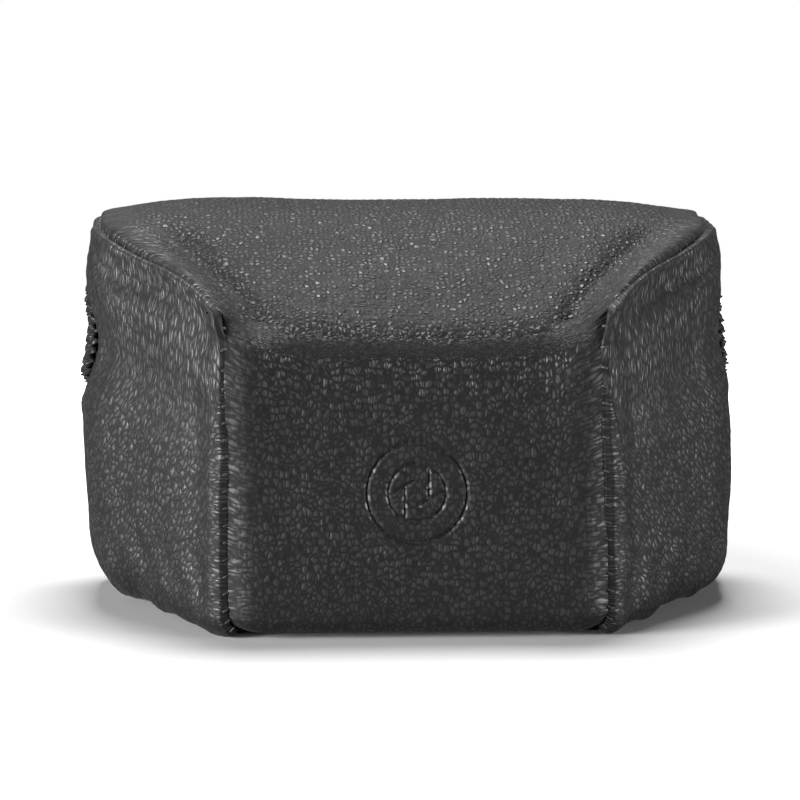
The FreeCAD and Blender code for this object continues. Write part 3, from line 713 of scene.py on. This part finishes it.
def make_base():
    u, b = grid_of(spaced(-1.0, 1.0, 140, 1.6 * GRID), spaced(0.0, 1.0, 72, 1.6 * GRID))
    plain = base(u, b)
    x, y = plain[..., 0], plain[..., 1]
    to_edge = np.minimum((1.0 - np.abs(u)) * 60.0, np.minimum(b, 1.0 - b) * 72.0)
    hide, lays = open_grain(x, y, 14, 1.0, 0.6)
    sole = 0.9 * np.exp(-(to_edge / 1.5) ** 2) + 0.10 * (1.0 + noise_field(plain, 16.0, 31))
    sole = sole + 0.05 * (1.0 - hide)
    outer = plain + point(0.0, 0.0, sole)
    turned_up = 2.6 * np.exp(-(to_edge / 2.4) ** 2)
    inner = plain + point(-0.02 * x, 0.0, np.maximum(LEATHER, LEAST_HIDE + sole) + turned_up)
    piece = shell("base_hide", outer, inner, lays=lays)
    finish(piece, "case", "base_leather", grain="pebble")


def make_low_back():
    u, t = grid_of(spaced(-1.0, 1.0, 126, GRID), spaced(0.0, 1.0, 36, GRID))
    plain = low_back(u, t)
    normal = outward(plain)
    x, z = plain[..., 0], plain[..., 2]
    to_side = (1.0 - np.abs(u)) * LOW_BACK_HALF_WIDTH
    to_mouth = (1.0 - t) * 34.0
    hide, lays = open_grain(x, z, 16, 1.0, 0.6)
    relief = seam_relief(to_side, z, 12.0, 0.9, 0.3, 0.3, 3.0)
    relief += general_relief(plain, 12, 0.22, 0.08) + 0.09 * hide
    relief -= 0.5 * groove(to_mouth, 0.5) + 0.8 * groove(t * 36.0, 1.2)
    relief = stitched(relief, to_mouth - STITCH_INSET)
    relief = flat_round_snaps(relief, x, z)
    piece = shell("low_back_hide", *hide_faces(plain, normal, relief), clear_of_snaps(plain), lays=lays)
    finish(piece, "case", "low_back_leather", grain="pebble")


def stitched(relief, distance):
    """Presses the hide down along a row of stitches and lets it puff on both sides."""
    return relief - 0.22 * groove(distance, 0.7) + 0.10 * hump(np.abs(distance), 1.9, 0.9)


def flat_round_snaps(relief, x, z):
    radius = np.hypot(np.abs(x) - SNAP_X, z - SNAP_Z)
    return relief * smooth((radius - 6.0) / 3.0) - 0.12 * hump(radius, 6.6, 1.2)


def clear_of_snaps(points):
    x, z = np.abs(points[..., 0]) - SNAP_X, points[..., 2] - SNAP_Z
    return np.hypot(cell_middles(x), cell_middles(z)) > SNAP_HOLE_R


def make_flap():
    u, t = grid_of(spaced(-1.0, 1.0, 137, GRID), spaced(-FLAP_LIP, 1.0, 85, GRID))
    plain = flap(u, t)
    normal = outward(plain)
    x, z = plain[..., 0], plain[..., 2]
    down = t * SPINE.length * (1.0 - HINGE_SHARE)
    to_side = (1.0 - np.abs(u)) * FLAP_HALF_WIDTH
    to_foot = SPINE.length * (1.0 - HINGE_SHARE) - down
    to_edge = np.minimum(to_side, to_foot)
    hide, lays = open_grain(x, down, 24, 1.0, 0.7)
    relief = general_relief(plain, 21, 0.4, 0.12) + 0.09 * hide
    relief = stitched(relief, outline_distance(x, z) - STITCH_INSET)
    relief = flat_round_snaps(relief, x, z)
    relief -= 0.7 * (1.0 - np.sqrt(1.0 - (1.0 - np.clip(to_edge / 0.8, 0.0, 1.0)) ** 2))
    tucked = 1.0 - smooth((t + 0.004) / 0.016)
    outer = plain + normal * (relief * (1.0 - tucked) - 1.55 * tucked)[..., None]
    inner = plain - normal * (LEATHER + 0.65 * tucked)[..., None]
    piece = shell("flap_hide", outer, inner, clear_of_snaps(plain), lays=lays)
    bend(piece, "case", "flap", "flap_leather", grain="pebble")


def outline_distance(x, z):
    """Distance from a point of the flap to its free edge."""
    inner_x, inner_z = FLAP_HALF_WIDTH - FLAP_CORNER, FLAP_FOOT_Z + FLAP_CORNER
    to_corner = FLAP_CORNER - np.hypot(np.maximum(np.abs(x) - inner_x, 0), np.maximum(inner_z - z, 0))
    straight = np.minimum(FLAP_HALF_WIDTH - np.abs(x), z - FLAP_FOOT_Z)
    return np.where((np.abs(x) > inner_x) & (z < inner_z), to_corner, straight)


# ---- ears, edging and elastic ----
def ear_relief(a, b, seed):
    """Gathers of the ear: ruffles that grow towards its front edge, pinched at the elastic's channel."""
    phase = 2.0 * math.pi * b * 10.0 + 1.1 * np.sin(7.0 * b + seed)
    gathered = smooth((a - 0.25) / 0.4)
    channel = hump(a, 0.88, 0.05)
    ruffle = gathered * (0.6 * np.sin(phase) + 0.28 * np.sin(2.3 * phase + 1.0 + seed))
    return ruffle * (1.0 - 0.6 * channel) - 0.5 * channel


def make_ear(side, mirror):
    a, b = grid_of(spaced(-0.05, 1.0, 30, 0.6 * GRID), spaced(0.0, 1.0, 26, 0.45 * GRID))
    plain = ear(a, b)
    normal = outward(plain)
    seed = 2.0 if mirror else 0.0
    hide, lays = open_grain(a * 30.0, b * 26.0, 41 + seed, 0.8, 0.6, mesh_seed=41)
    tip = np.sqrt(1.0 - np.clip((a - 0.93) / 0.07, 0.0, 1.0) ** 2)
    tucked = 1.0 - smooth((a + 0.02) / 0.08)
    relief = ear_relief(a, b, seed) + 0.15 * noise_field(plain, 2.4, 51 + seed) + 0.1 * hide
    ends = hump(b, 0.0, 0.09) + hump(b, 1.0, 0.09)
    relief = relief * (1.0 - tucked) - 1.0 * tucked - 1.6 * ends * smooth((a - 0.1) / 0.2)
    body = 0.5 + 0.5 * smooth((a - 0.25) / 0.4)
    outer = plain + normal * (relief - body * (1.0 - tip))[..., None]
    inner = plain + normal * (relief - 0.9 - body * (1.0 + tip) * 0.7)[..., None]
    piece = shell(side + "_ear_hide", outer, inner, None, mirror, lays)
    bend(piece, "flap", side + "_ear", side + "_ear_leather", grain="fine", x_sign=-1 if mirror else 1)


def make_ear_stitches(side, mirror):
    """One row of stitches that closes the elastic's channel, riding over the gathers."""
    seed = 2.0 if mirror else 0.0
    lines = []
    for start in np.linspace(0.16, 0.80, EAR_STITCHES):
        b = start + np.linspace(0.0, 0.04, 9)
        a = np.full_like(b, EAR_STITCH_SHARE)
        step = 0.004
        along, up = ear(a + step, b) - ear(a - step, b), ear(a, b + step) - ear(a, b - step)
        normal = unit(np.cross(up, along))
        dive = 0.5 * np.linspace(-1.0, 1.0, 9) ** 4
        lines.append(ear(a, b) + normal * (ear_relief(a, b, seed) + 0.1 - dive)[:, None])
    threads(side + "_ear_stitches", lines, side + "_ear", side + "_ear_thread", mirror)


def make_elastic(side, mirror):
    b = np.linspace(0.12, 0.88, 120)
    path = ear(np.full_like(b, ELASTIC_SHARE), b) + point(-3.2, 0.0, 0.0)
    radii = ELASTIC_R + 0.05 * np.sin(np.arange(len(b)) * 2.2)
    piece = tube(side + "_ear_cord", path, radii, mirror)
    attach(piece, side + "_ear")
    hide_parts(side + "_ear_elastic")
    dressed(piece, "elastic_cord")


def make_edging(side, mirror):
    turns = np.linspace(-1.22, 1.22, 160)
    y = FLAP_Y - NOTCH_DEPTH * np.cos(turns)
    z = NOTCH_Z + NOTCH_HALF_HEIGHT * np.sin(turns)
    shares = np.linspace(0.15, 0.95, 600)
    plan = WING_PLAN.at(shares)
    x = np.interp(y, plan[:, 1], plan[:, 0])
    into = point(0.0, np.cos(turns), -np.sin(turns))
    path = point(x - 0.75, y, z) + into * 0.35
    wave = np.linspace(0, 1, len(turns))
    wobble = 1.0 + 0.13 * np.sin(75 * wave) + 0.08 * np.sin(171 * wave)
    radii = EDGING_R * wobble * np.sqrt(np.clip(1.0 - (turns / 1.25) ** 8, 0.02, 1.0))
    piece = tube(side + "_opening_roll", path, radii, mirror, 16)
    finish(piece, "case", side + "_opening_edging", grain="fine")


# ---- linings ----
def layer(name, surface, a_range, b_range, lengths, node, depth=LINING_DEPTH, thickness=LINING,
          mirror=False, notch=None, snaps=False):
    """A thin layer under the hide, such as a lining."""
    a, b = grid_of(spaced(*a_range, lengths[0], 2.0 * GRID), spaced(*b_range, lengths[1], 2.0 * GRID))
    keep = cut_notch(surface, a, b, notch) if notch is not None else None
    plain = surface(a, b)
    if snaps:
        keep = clear_of_snaps(plain)
    normal = outward(plain)
    if surface is strip:
        depth = depth + np.maximum(0.0, -strip_relief(a, b, plain))[..., None]
    if surface is wing:
        depth = depth + np.maximum(0.0, -wing_relief(a, b, plain, WING_SEEDS[mirror]))[..., None]
    wave = 0.12 * noise_field(plain, 9.0, 60 + len(name))[..., None]
    outer = plain - normal * depth
    inner = plain - normal * (depth + thickness + wave)
    piece = shell(name, outer, inner, keep, mirror)
    if surface is flap:
        blend_flap(piece)
    else:
        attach(piece, "case")
    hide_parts(node)
    return piece


def dressed(piece, slot):
    piece.data.materials.append(CAD_FINISH[slot])


def make_linings():
    wing_range, wing_size = ((0.025, 0.985), (0.03, 0.975)), (95, 88)
    for piece in (
            layer("nose_top_suede", strip, (-0.965, 0.965), (0.012, 0.985), (140, 160), "nose_top_lining"),
            layer("left_wing_suede", wing, *wing_range, wing_size, "left_wing_lining", mirror=True,
                  notch=1.6),
            layer("right_wing_suede", wing, *wing_range, wing_size, "right_wing_lining", notch=1.6),
            layer("base_suede", base, (-0.965, 0.965), (0.03, 0.97), (130, 66), "base_lining"),
            layer("low_back_suede", low_back, (-0.96, 0.96), (0.05, 0.985), (120, 33), "low_back_lining",
                  snaps=True),
            layer("flap_suede", flap, (-0.985, 0.985), (0.012, 0.985), (134, 78), "flap_lining", snaps=True)):
        dressed(piece, "suede_lining")
    stiffener = layer("base_stiffener", base, (-0.9, 0.9), (0.08, 0.8), (120, 52), "base_board",
                      BOARD_DEPTH, BOARD)
    dressed(stiffener, "fibre_board")


# ---- stitches of the two side seams ----
def make_seam_stitches(side, mirror):
    """Short threads that cross the groove."""
    first, last = 0.03, 0.93
    v = np.linspace(first, last, int((last - first) * SEAM_SPAN / SEAM_STITCH_PITCH))
    v = v[np.abs(v * SEAM_SPAN - SEAM_CORNER_Z) > 4.0]
    seam = strip_edge(v)
    along = unit(strip_edge(v + 0.004) - strip_edge(v - 0.004))
    down = unit(way_in(seam))
    across = unit(np.cross(along, down))
    steps = np.linspace(-1.0, 1.0, 9)[:, None]
    lines = []
    for middle, way, deep, forward in zip(seam, across, down, along):
        dive = deep * (SEAM_STITCH_DEPTH + 0.8 * steps ** 2)
        lines.append(middle + way * SEAM_STITCH_REACH * steps + dive + forward * 0.25 * steps)
    threads(side + "_seam_stitches", lines, "case", side + "_seam_thread", mirror)


def threads(name, lines, body, node, mirror):
    """Short round closed threads, one along each line of points, in one mesh."""
    sides, radius = THREAD_SIDES, THREAD_R
    turns = np.linspace(0, 2 * math.pi, sides, endpoint=False)[:, None]
    vertices, faces = [], []
    for number, line in enumerate(lines):
        way = unit(line[-1] - line[0])
        first = unit(np.cross(way, np.array([0.3, 0.9, 0.2])))
        second = np.cross(way, first)
        ring = radius * (first * np.cos(turns) + second * np.sin(turns))
        vertices.append((line[:, None] + ring).reshape(-1, 3))
        begin = number * sides * len(line)
        faces.extend(walls(len(line), sides, begin))
        faces.append(tuple(begin + j for j in reversed(range(sides))))
        faces.append(tuple(begin + (len(line) - 1) * sides + j for j in range(sides)))
    vertices = mirrored(np.concatenate(vertices), mirror)
    if mirror:
        faces = [tuple(reversed(face)) for face in faces]
    piece = mesh_object(name, vertices + sag(vertices), faces, smooth_shaded=False)
    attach(piece, body)
    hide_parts(node)
    dressed(piece, "black_thread")


# ---- how pieces follow the CAD bodies ----
def finish(piece, body, node, grain):
    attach(piece, body)
    covered(piece, node, grain)


def covered(piece, node, grain):
    """Takes a leather node's place, in leather of this grain."""
    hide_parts(node)
    piece.data.materials.append(leather[grain])


def blend_flap(piece):
    before, after = SPINE.at(HINGE_SHARE - 0.012), SPINE.at(HINGE_SHARE + 0.014)
    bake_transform(piece, "case", "flap", start=(0, before[0] * MM, before[1] * MM),
             end=(0, after[0] * MM, after[1] * MM))


def bend(piece, first, second, node, grain, x_sign=1):
    """Blends a piece of leather across the joint between two bodies."""
    if second == "flap":
        blend_flap(piece)
    else:
        root = EAR_ROOT_X * MM * x_sign
        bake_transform(piece, first, second, start=(root - 0.0022 * x_sign, EAR_ROOT_Y * MM, NOTCH_Z * MM),
                 end=(root + 0.0026 * x_sign, (EAR_ROOT_Y - 0.3) * MM, NOTCH_Z * MM))
    covered(piece, node, grain)


# ---- materials ----
class Nodes:
    """Small helper that adds and links shader nodes."""

    def __init__(self, name):
        self.material = bpy.data.materials.new(name)
        self.material.use_nodes = True
        self.tree = self.material.node_tree
        self.tree.nodes.clear()
        self.output = self.add("ShaderNodeOutputMaterial")
        self.shader = self.add("ShaderNodeBsdfPrincipled")
        self.link(self.shader, "BSDF", self.output, "Surface")
        self.place = self.add("ShaderNodeTexCoord")
        self.object_place = None

    def add(self, kind, **settings):
        node = self.tree.nodes.new(kind)
        for key, value in settings.items():
            if hasattr(node, key):
                setattr(node, key, value)
            else:
                node.inputs[key.replace("_", " ")].default_value = value
        return node

    def link(self, source, output, target, socket):
        self.tree.links.new(source.outputs[output], target.inputs[socket])

    def set(self, **values):
        for key, value in values.items():
            self.shader.inputs[key.replace("_", " ")].default_value = value

    def mapped(self, scale):
        mapping = self.add("ShaderNodeMapping")
        mapping.inputs["Scale"].default_value = scale
        self.link(self.place, "Object", mapping, "Vector")
        return mapping

    def place_object(self):
        """Places in the object's own frame, shared by the textures of one material."""
        if self.object_place is None:
            self.object_place = self.mapped((1.0, 1.0, 1.0))
        return self.object_place

    def two_tone(self, source, output, dark, light):
        """Base colour that runs from dark to light as the source runs from 0 to 1."""
        tone = self.add("ShaderNodeMixRGB")
        tone.inputs[1].default_value = (*dark, 1)
        tone.inputs[2].default_value = (*light, 1)
        self.link(source, output, tone, 0)
        self.link(tone, 0, self.shader, "Base Color")

    def noise(self, source, scale, detail=3.0, roughness=0.5):
        texture = self.add("ShaderNodeTexNoise", Scale=scale, Detail=detail, Roughness=roughness)
        self.link(source, 0, texture, "Vector")
        return texture

    def ramp(self, source, output, low, high, to_low, to_high):
        node = self.add("ShaderNodeMapRange")
        for socket, value in zip(("From Min", "From Max", "To Min", "To Max"), (low, high, to_low, to_high)):
            node.inputs[socket].default_value = value
        self.link(source, output, node, "Value")
        return node

    def math(self, operation, first, second):
        node = self.add("ShaderNodeMath", operation=operation)
        for socket, source in enumerate((first, second)):
            if isinstance(source, float):
                node.inputs[socket].default_value = source
            else:
                self.tree.links.new(source.outputs[0], node.inputs[socket])
        return node

    def bump(self, height, strength, distance, below=None):
        node = self.add("ShaderNodeBump")
        node.inputs["Strength"].default_value = strength
        node.inputs["Distance"].default_value = distance
        self.tree.links.new(height.outputs[0], node.inputs["Height"])
        if below is not None:
            self.link(below, "Normal", node, "Normal")
        return node

    def finish(self, bump):
        self.link(bump, "Normal", self.shader, "Normal")
        return self.material


def leather_material(name, pore_mm, depth):
    """Black hide: pebbles and wrinkles along the lay kept on the mesh, with pores between them."""
    nodes = Nodes(name)

    def creases(label):
        lay = nodes.add("ShaderNodeAttribute", attribute_name=label)
        cells = nodes.add("ShaderNodeTexVoronoi", feature="DISTANCE_TO_EDGE", Scale=1.0, Randomness=0.7)
        nodes.link(lay, "Vector", cells, "Vector")
        rise = nodes.ramp(cells, "Distance", 0.0, 0.48, 0.0, 1.0)
        rise.interpolation_type = "SMOOTHSTEP"
        return rise

    def mixed(amount, socket, first, second):
        node = nodes.add("ShaderNodeMix", data_type="FLOAT")
        nodes.link(amount, socket, node, 0)
        nodes.tree.links.new(first.outputs[0], node.inputs[2])
        nodes.tree.links.new(second.outputs[0], node.inputs[3])
        return node

    beside = nodes.add("ShaderNodeAttribute", attribute_name="beside_seam")
    strength = nodes.add("ShaderNodeAttribute", attribute_name="grain_strength")
    crowns = mixed(beside, "Fac", creases("open_lay"), creases("seam_lay"))
    scaled = nodes.add("ShaderNodeMath", operation="MULTIPLY")
    nodes.link(crowns, 0, scaled, 0)
    nodes.link(strength, "Fac", scaled, 1)
    cells = 1.0 / (pore_mm * MM)
    pores = nodes.add("ShaderNodeTexVoronoi", feature="SMOOTH_F1", Scale=cells)
    nodes.link(nodes.place_object(), 0, pores, "Vector")
    rough = nodes.noise(nodes.place_object(), cells * 1.4, 5.0, 0.65)
    fine = nodes.math("SUBTRACT", nodes.math("MULTIPLY", rough, 0.14), nodes.math("MULTIPLY", pores, 0.10))
    bump = nodes.bump(nodes.math("ADD", scaled, fine), 1.0, depth * MM)
    # Painted shade: the base colour is darker in the creases between the pebbles and lighter on their crowns.
    nodes.two_tone(crowns, 0, (0.0025, 0.0025, 0.0026), (0.0095, 0.0095, 0.0098))
    clouds = nodes.noise(nodes.place_object(), 38.0, 4.0)
    gloss = nodes.ramp(clouds, 0, 0.3, 0.7, 0.43, 0.52)
    creased = nodes.math("ADD", gloss, nodes.ramp(crowns, 0, 0.0, 0.6, 0.2, 0.0))
    nodes.link(creased, 0, nodes.shader, "Roughness")
    # Painted shade: the specular level drops in the creases, standing in for the shadow that falls inside
    # them.
    nodes.link(nodes.ramp(crowns, 0, 0.0, 0.55, 0.20, 0.56), 0, nodes.shader, "Specular IOR Level")
    nodes.set(Sheen_Weight=0.03, Sheen_Roughness=0.5)
    return nodes.finish(bump)


def suede(name):
    nodes = Nodes(name)
    fibres = nodes.noise(nodes.place_object(), 2600.0, 5.0, 0.7)
    nap = nodes.noise(nodes.place_object(), 90.0, 4.0, 0.6)
    shade = nodes.ramp(nap, 0, 0.35, 0.65, 0.0, 1.0)
    nodes.two_tone(shade, 0, (0.035, 0.031, 0.029), (0.085, 0.077, 0.070))
    nodes.set(Roughness=0.95, Sheen_Weight=0.5, Sheen_Roughness=0.4, Specular_IOR_Level=0.15)
    coarse = nodes.bump(nap, 0.2, 0.0004)
    return nodes.finish(nodes.bump(fibres, 0.7, 0.00012, coarse))


def twisted(name, colour, pitch_mm, roughness):
    """Twisted or braided strands: fine slanting ribs."""
    nodes = Nodes(name)
    wave = nodes.add("ShaderNodeTexWave", wave_type="BANDS", bands_direction="DIAGONAL",
                     Scale=0.16 / (pitch_mm * MM))
    wave.inputs["Distortion"].default_value = 0.6
    nodes.link(nodes.place_object(), 0, wave, "Vector")
    nodes.two_tone(wave, "Fac", [c * 0.45 for c in colour], colour)
    nodes.set(Roughness=roughness, Sheen_Weight=0.2)
    return nodes.finish(nodes.bump(wave, 0.6, 0.0001))


def metal(name, colour, roughness, coat=0.0, metallic=1.0):
    """Turned or enamelled metal with faint scratches and a little wear."""
    nodes = Nodes(name)
    scratches = nodes.noise(nodes.mapped((1.0, 1.0, 14.0)), 900.0, 5.0, 0.7)
    stains = nodes.noise(nodes.place_object(), 260.0, 3.0)
    worn = nodes.ramp(stains, 0, 0.3, 0.7, roughness * 0.8, roughness * 1.5)
    nodes.link(worn, 0, nodes.shader, "Roughness")
    nodes.two_tone(stains, 0, [c * 0.78 for c in colour], colour)
    nodes.set(Metallic=metallic, Coat_Weight=coat)
    return nodes.finish(nodes.bump(scratches, 0.12, 0.00004))


def board(name):
    nodes = Nodes(name)
    specks = nodes.noise(nodes.place_object(), 1500.0, 5.0, 0.7)
    nodes.two_tone(specks, 0, (0.16, 0.11, 0.07), (0.36, 0.27, 0.18))
    nodes.set(Roughness=0.85)
    return nodes.finish(nodes.bump(specks, 0.4, 0.0001))


leather = {
    "pebble": leather_material("leather_pebbled", 0.45, 0.25),
    "stretched": leather_material("leather_stretched", 0.45, 0.22),
    "fine": leather_material("leather_fine", 0.35, 0.12),
}
CAD_FINISH = {
    "black_leather": leather["pebble"],
    "suede_lining": suede("suede"),
    "black_thread": twisted("thread", (0.012, 0.012, 0.013), 0.4, 0.55),
    "elastic_cord": twisted("cord", (0.028, 0.028, 0.030), 0.5, 0.75),
    "black_enamel": metal("black_enamel", (0.014, 0.014, 0.015), 0.22, coat=0.6, metallic=0.0),
    "brass": metal("brass", (0.70, 0.52, 0.24), 0.28),
    "spring_steel": metal("spring_steel", (0.55, 0.55, 0.54), 0.3),
    "fibre_board": board("fibre_board"),
}


def dress_cad_nodes():
    """Gives every CAD node its procedural material, by the slot the record names."""
    for part in frame["record"]["subparts"]:
        mesh = frame["nodes"][part["node"]].data
        mesh.materials.clear()
        mesh.materials.append(CAD_FINISH[part["material_slot"]])


# ---- studio ----
CAMERA_AZIMUTH = math.radians(-2.55)
CAMERA_ELEVATION = math.radians(9.5)
CAMERA_DISTANCE = 1.328


def aim(thing, target):
    way = Vector(target) - thing.location
    thing.rotation_euler = way.to_track_quat("-Z", "Y").to_euler()


def add_camera():
    camera = bpy.data.objects.new("camera", bpy.data.cameras.new("camera"))
    bpy.context.scene.collection.objects.link(camera)
    target = Vector((0, 0, 0.5 * TOP_Z * MM))
    way = Vector((math.sin(CAMERA_AZIMUTH) * math.cos(CAMERA_ELEVATION),
                  -math.cos(CAMERA_AZIMUTH) * math.cos(CAMERA_ELEVATION), math.sin(CAMERA_ELEVATION)))
    camera.location = target + way * CAMERA_DISTANCE
    aim(camera, target)
    camera.data.sensor_width = 36.0
    camera.data.lens = 252.9
    camera.data.shift_x = -0.0108
    camera.data.shift_y = 0.0125
    bpy.context.scene.camera = camera


def area_light(name, location, target, size, size_y, power):
    light = bpy.data.lights.new(name, "AREA")
    light.shape = "RECTANGLE"
    light.size, light.size_y = size, size_y
    light.energy = power
    thing = bpy.data.objects.new(name, light)
    bpy.context.scene.collection.objects.link(thing)
    thing.location = location
    aim(thing, target)


def add_lights():
    area_light("top_softbox", (0.02, 0.22, 0.98), (0, 0.0, 0.05), 0.4, 0.3, 17.5)
    area_light("left_softbox", (-1.0, -0.46, 0.22), (0, 0, 0.05), 0.5, 0.4, 38.0)
    area_light("right_softbox", (1.05, -0.42, 0.08), (0, 0, 0.05), 0.4, 0.25, 21.0)
    world = bpy.data.worlds.new("studio")
    bpy.context.scene.world = world
    world.use_nodes = True
    tree = world.node_tree
    tree.nodes.clear()
    output = tree.nodes.new("ShaderNodeOutputWorld")
    mix = tree.nodes.new("ShaderNodeMixShader")
    rays = tree.nodes.new("ShaderNodeLightPath")
    shades = []
    for strength in (0.03, 1.0):
        shade = tree.nodes.new("ShaderNodeBackground")
        shade.inputs["Color"].default_value = (1, 1, 1, 1)
        shade.inputs["Strength"].default_value = strength
        shades.append(shade)
    tree.links.new(rays.outputs["Is Camera Ray"], mix.inputs[0])
    tree.links.new(shades[0].outputs[0], mix.inputs[1])
    tree.links.new(shades[1].outputs[0], mix.inputs[2])
    tree.links.new(mix.outputs[0], output.inputs[0])


def add_floor():
    """A pale floor: grey enough near the case to carry its shadow, and fading to white further off."""
    mesh = bpy.data.meshes.new("floor")
    half, rear = 3.0, 0.5
    corners = [(-half, -half, 0), (half, -half, 0), (half, rear, 0), (-half, rear, 0)]
    mesh.from_pydata(corners, [], [(0, 1, 2, 3)])
    floor = bpy.data.objects.new("floor", mesh)
    bpy.context.scene.collection.objects.link(floor)
    nodes = Nodes("pale_floor")
    grain = nodes.noise(nodes.place_object(), 400.0, 2.0)
    nodes.link(nodes.ramp(grain, 0, 0.3, 0.7, 0.6, 0.7), 0, nodes.shader, "Roughness")
    rays = nodes.add("ShaderNodeLightPath")
    shade = nodes.add("ShaderNodeMixRGB")
    shade.inputs[1].default_value = (0.12, 0.12, 0.12, 1)
    shade.inputs[2].default_value = (0.50, 0.50, 0.50, 1)
    nodes.link(rays, "Is Camera Ray", shade, 0)
    nodes.link(shade, 0, nodes.shader, "Base Color")
    place = nodes.add("ShaderNodeNewGeometry")
    away = nodes.add("ShaderNodeVectorMath", operation="LENGTH")
    nodes.link(place, "Position", away, 0)
    glow = nodes.add("ShaderNodeMath", operation="MULTIPLY")
    nodes.link(nodes.ramp(away, "Value", 0.10, 0.24, 0.0, 1.0), 0, glow, 0)
    nodes.link(rays, "Is Camera Ray", glow, 1)
    nodes.link(glow, 0, nodes.shader, "Emission Strength")
    nodes.set(Emission_Color=(1, 1, 1, 1))
    mesh.materials.append(nodes.material)


# ---- build ----
dress_cad_nodes()
make_strip()
make_wing("left_wing", True)
make_wing("right_wing", False)
make_base()
make_low_back()
make_flap()
for side, mirror in (("left", True), ("right", False)):
    make_ear(side, mirror)
    make_ear_stitches(side, mirror)
    make_elastic(side, mirror)
    make_edging(side, mirror)
    make_seam_stitches(side, mirror)
make_linings()
add_camera()
add_lights()
add_floor()
bpy.context.scene.view_settings.view_transform = "Standard"
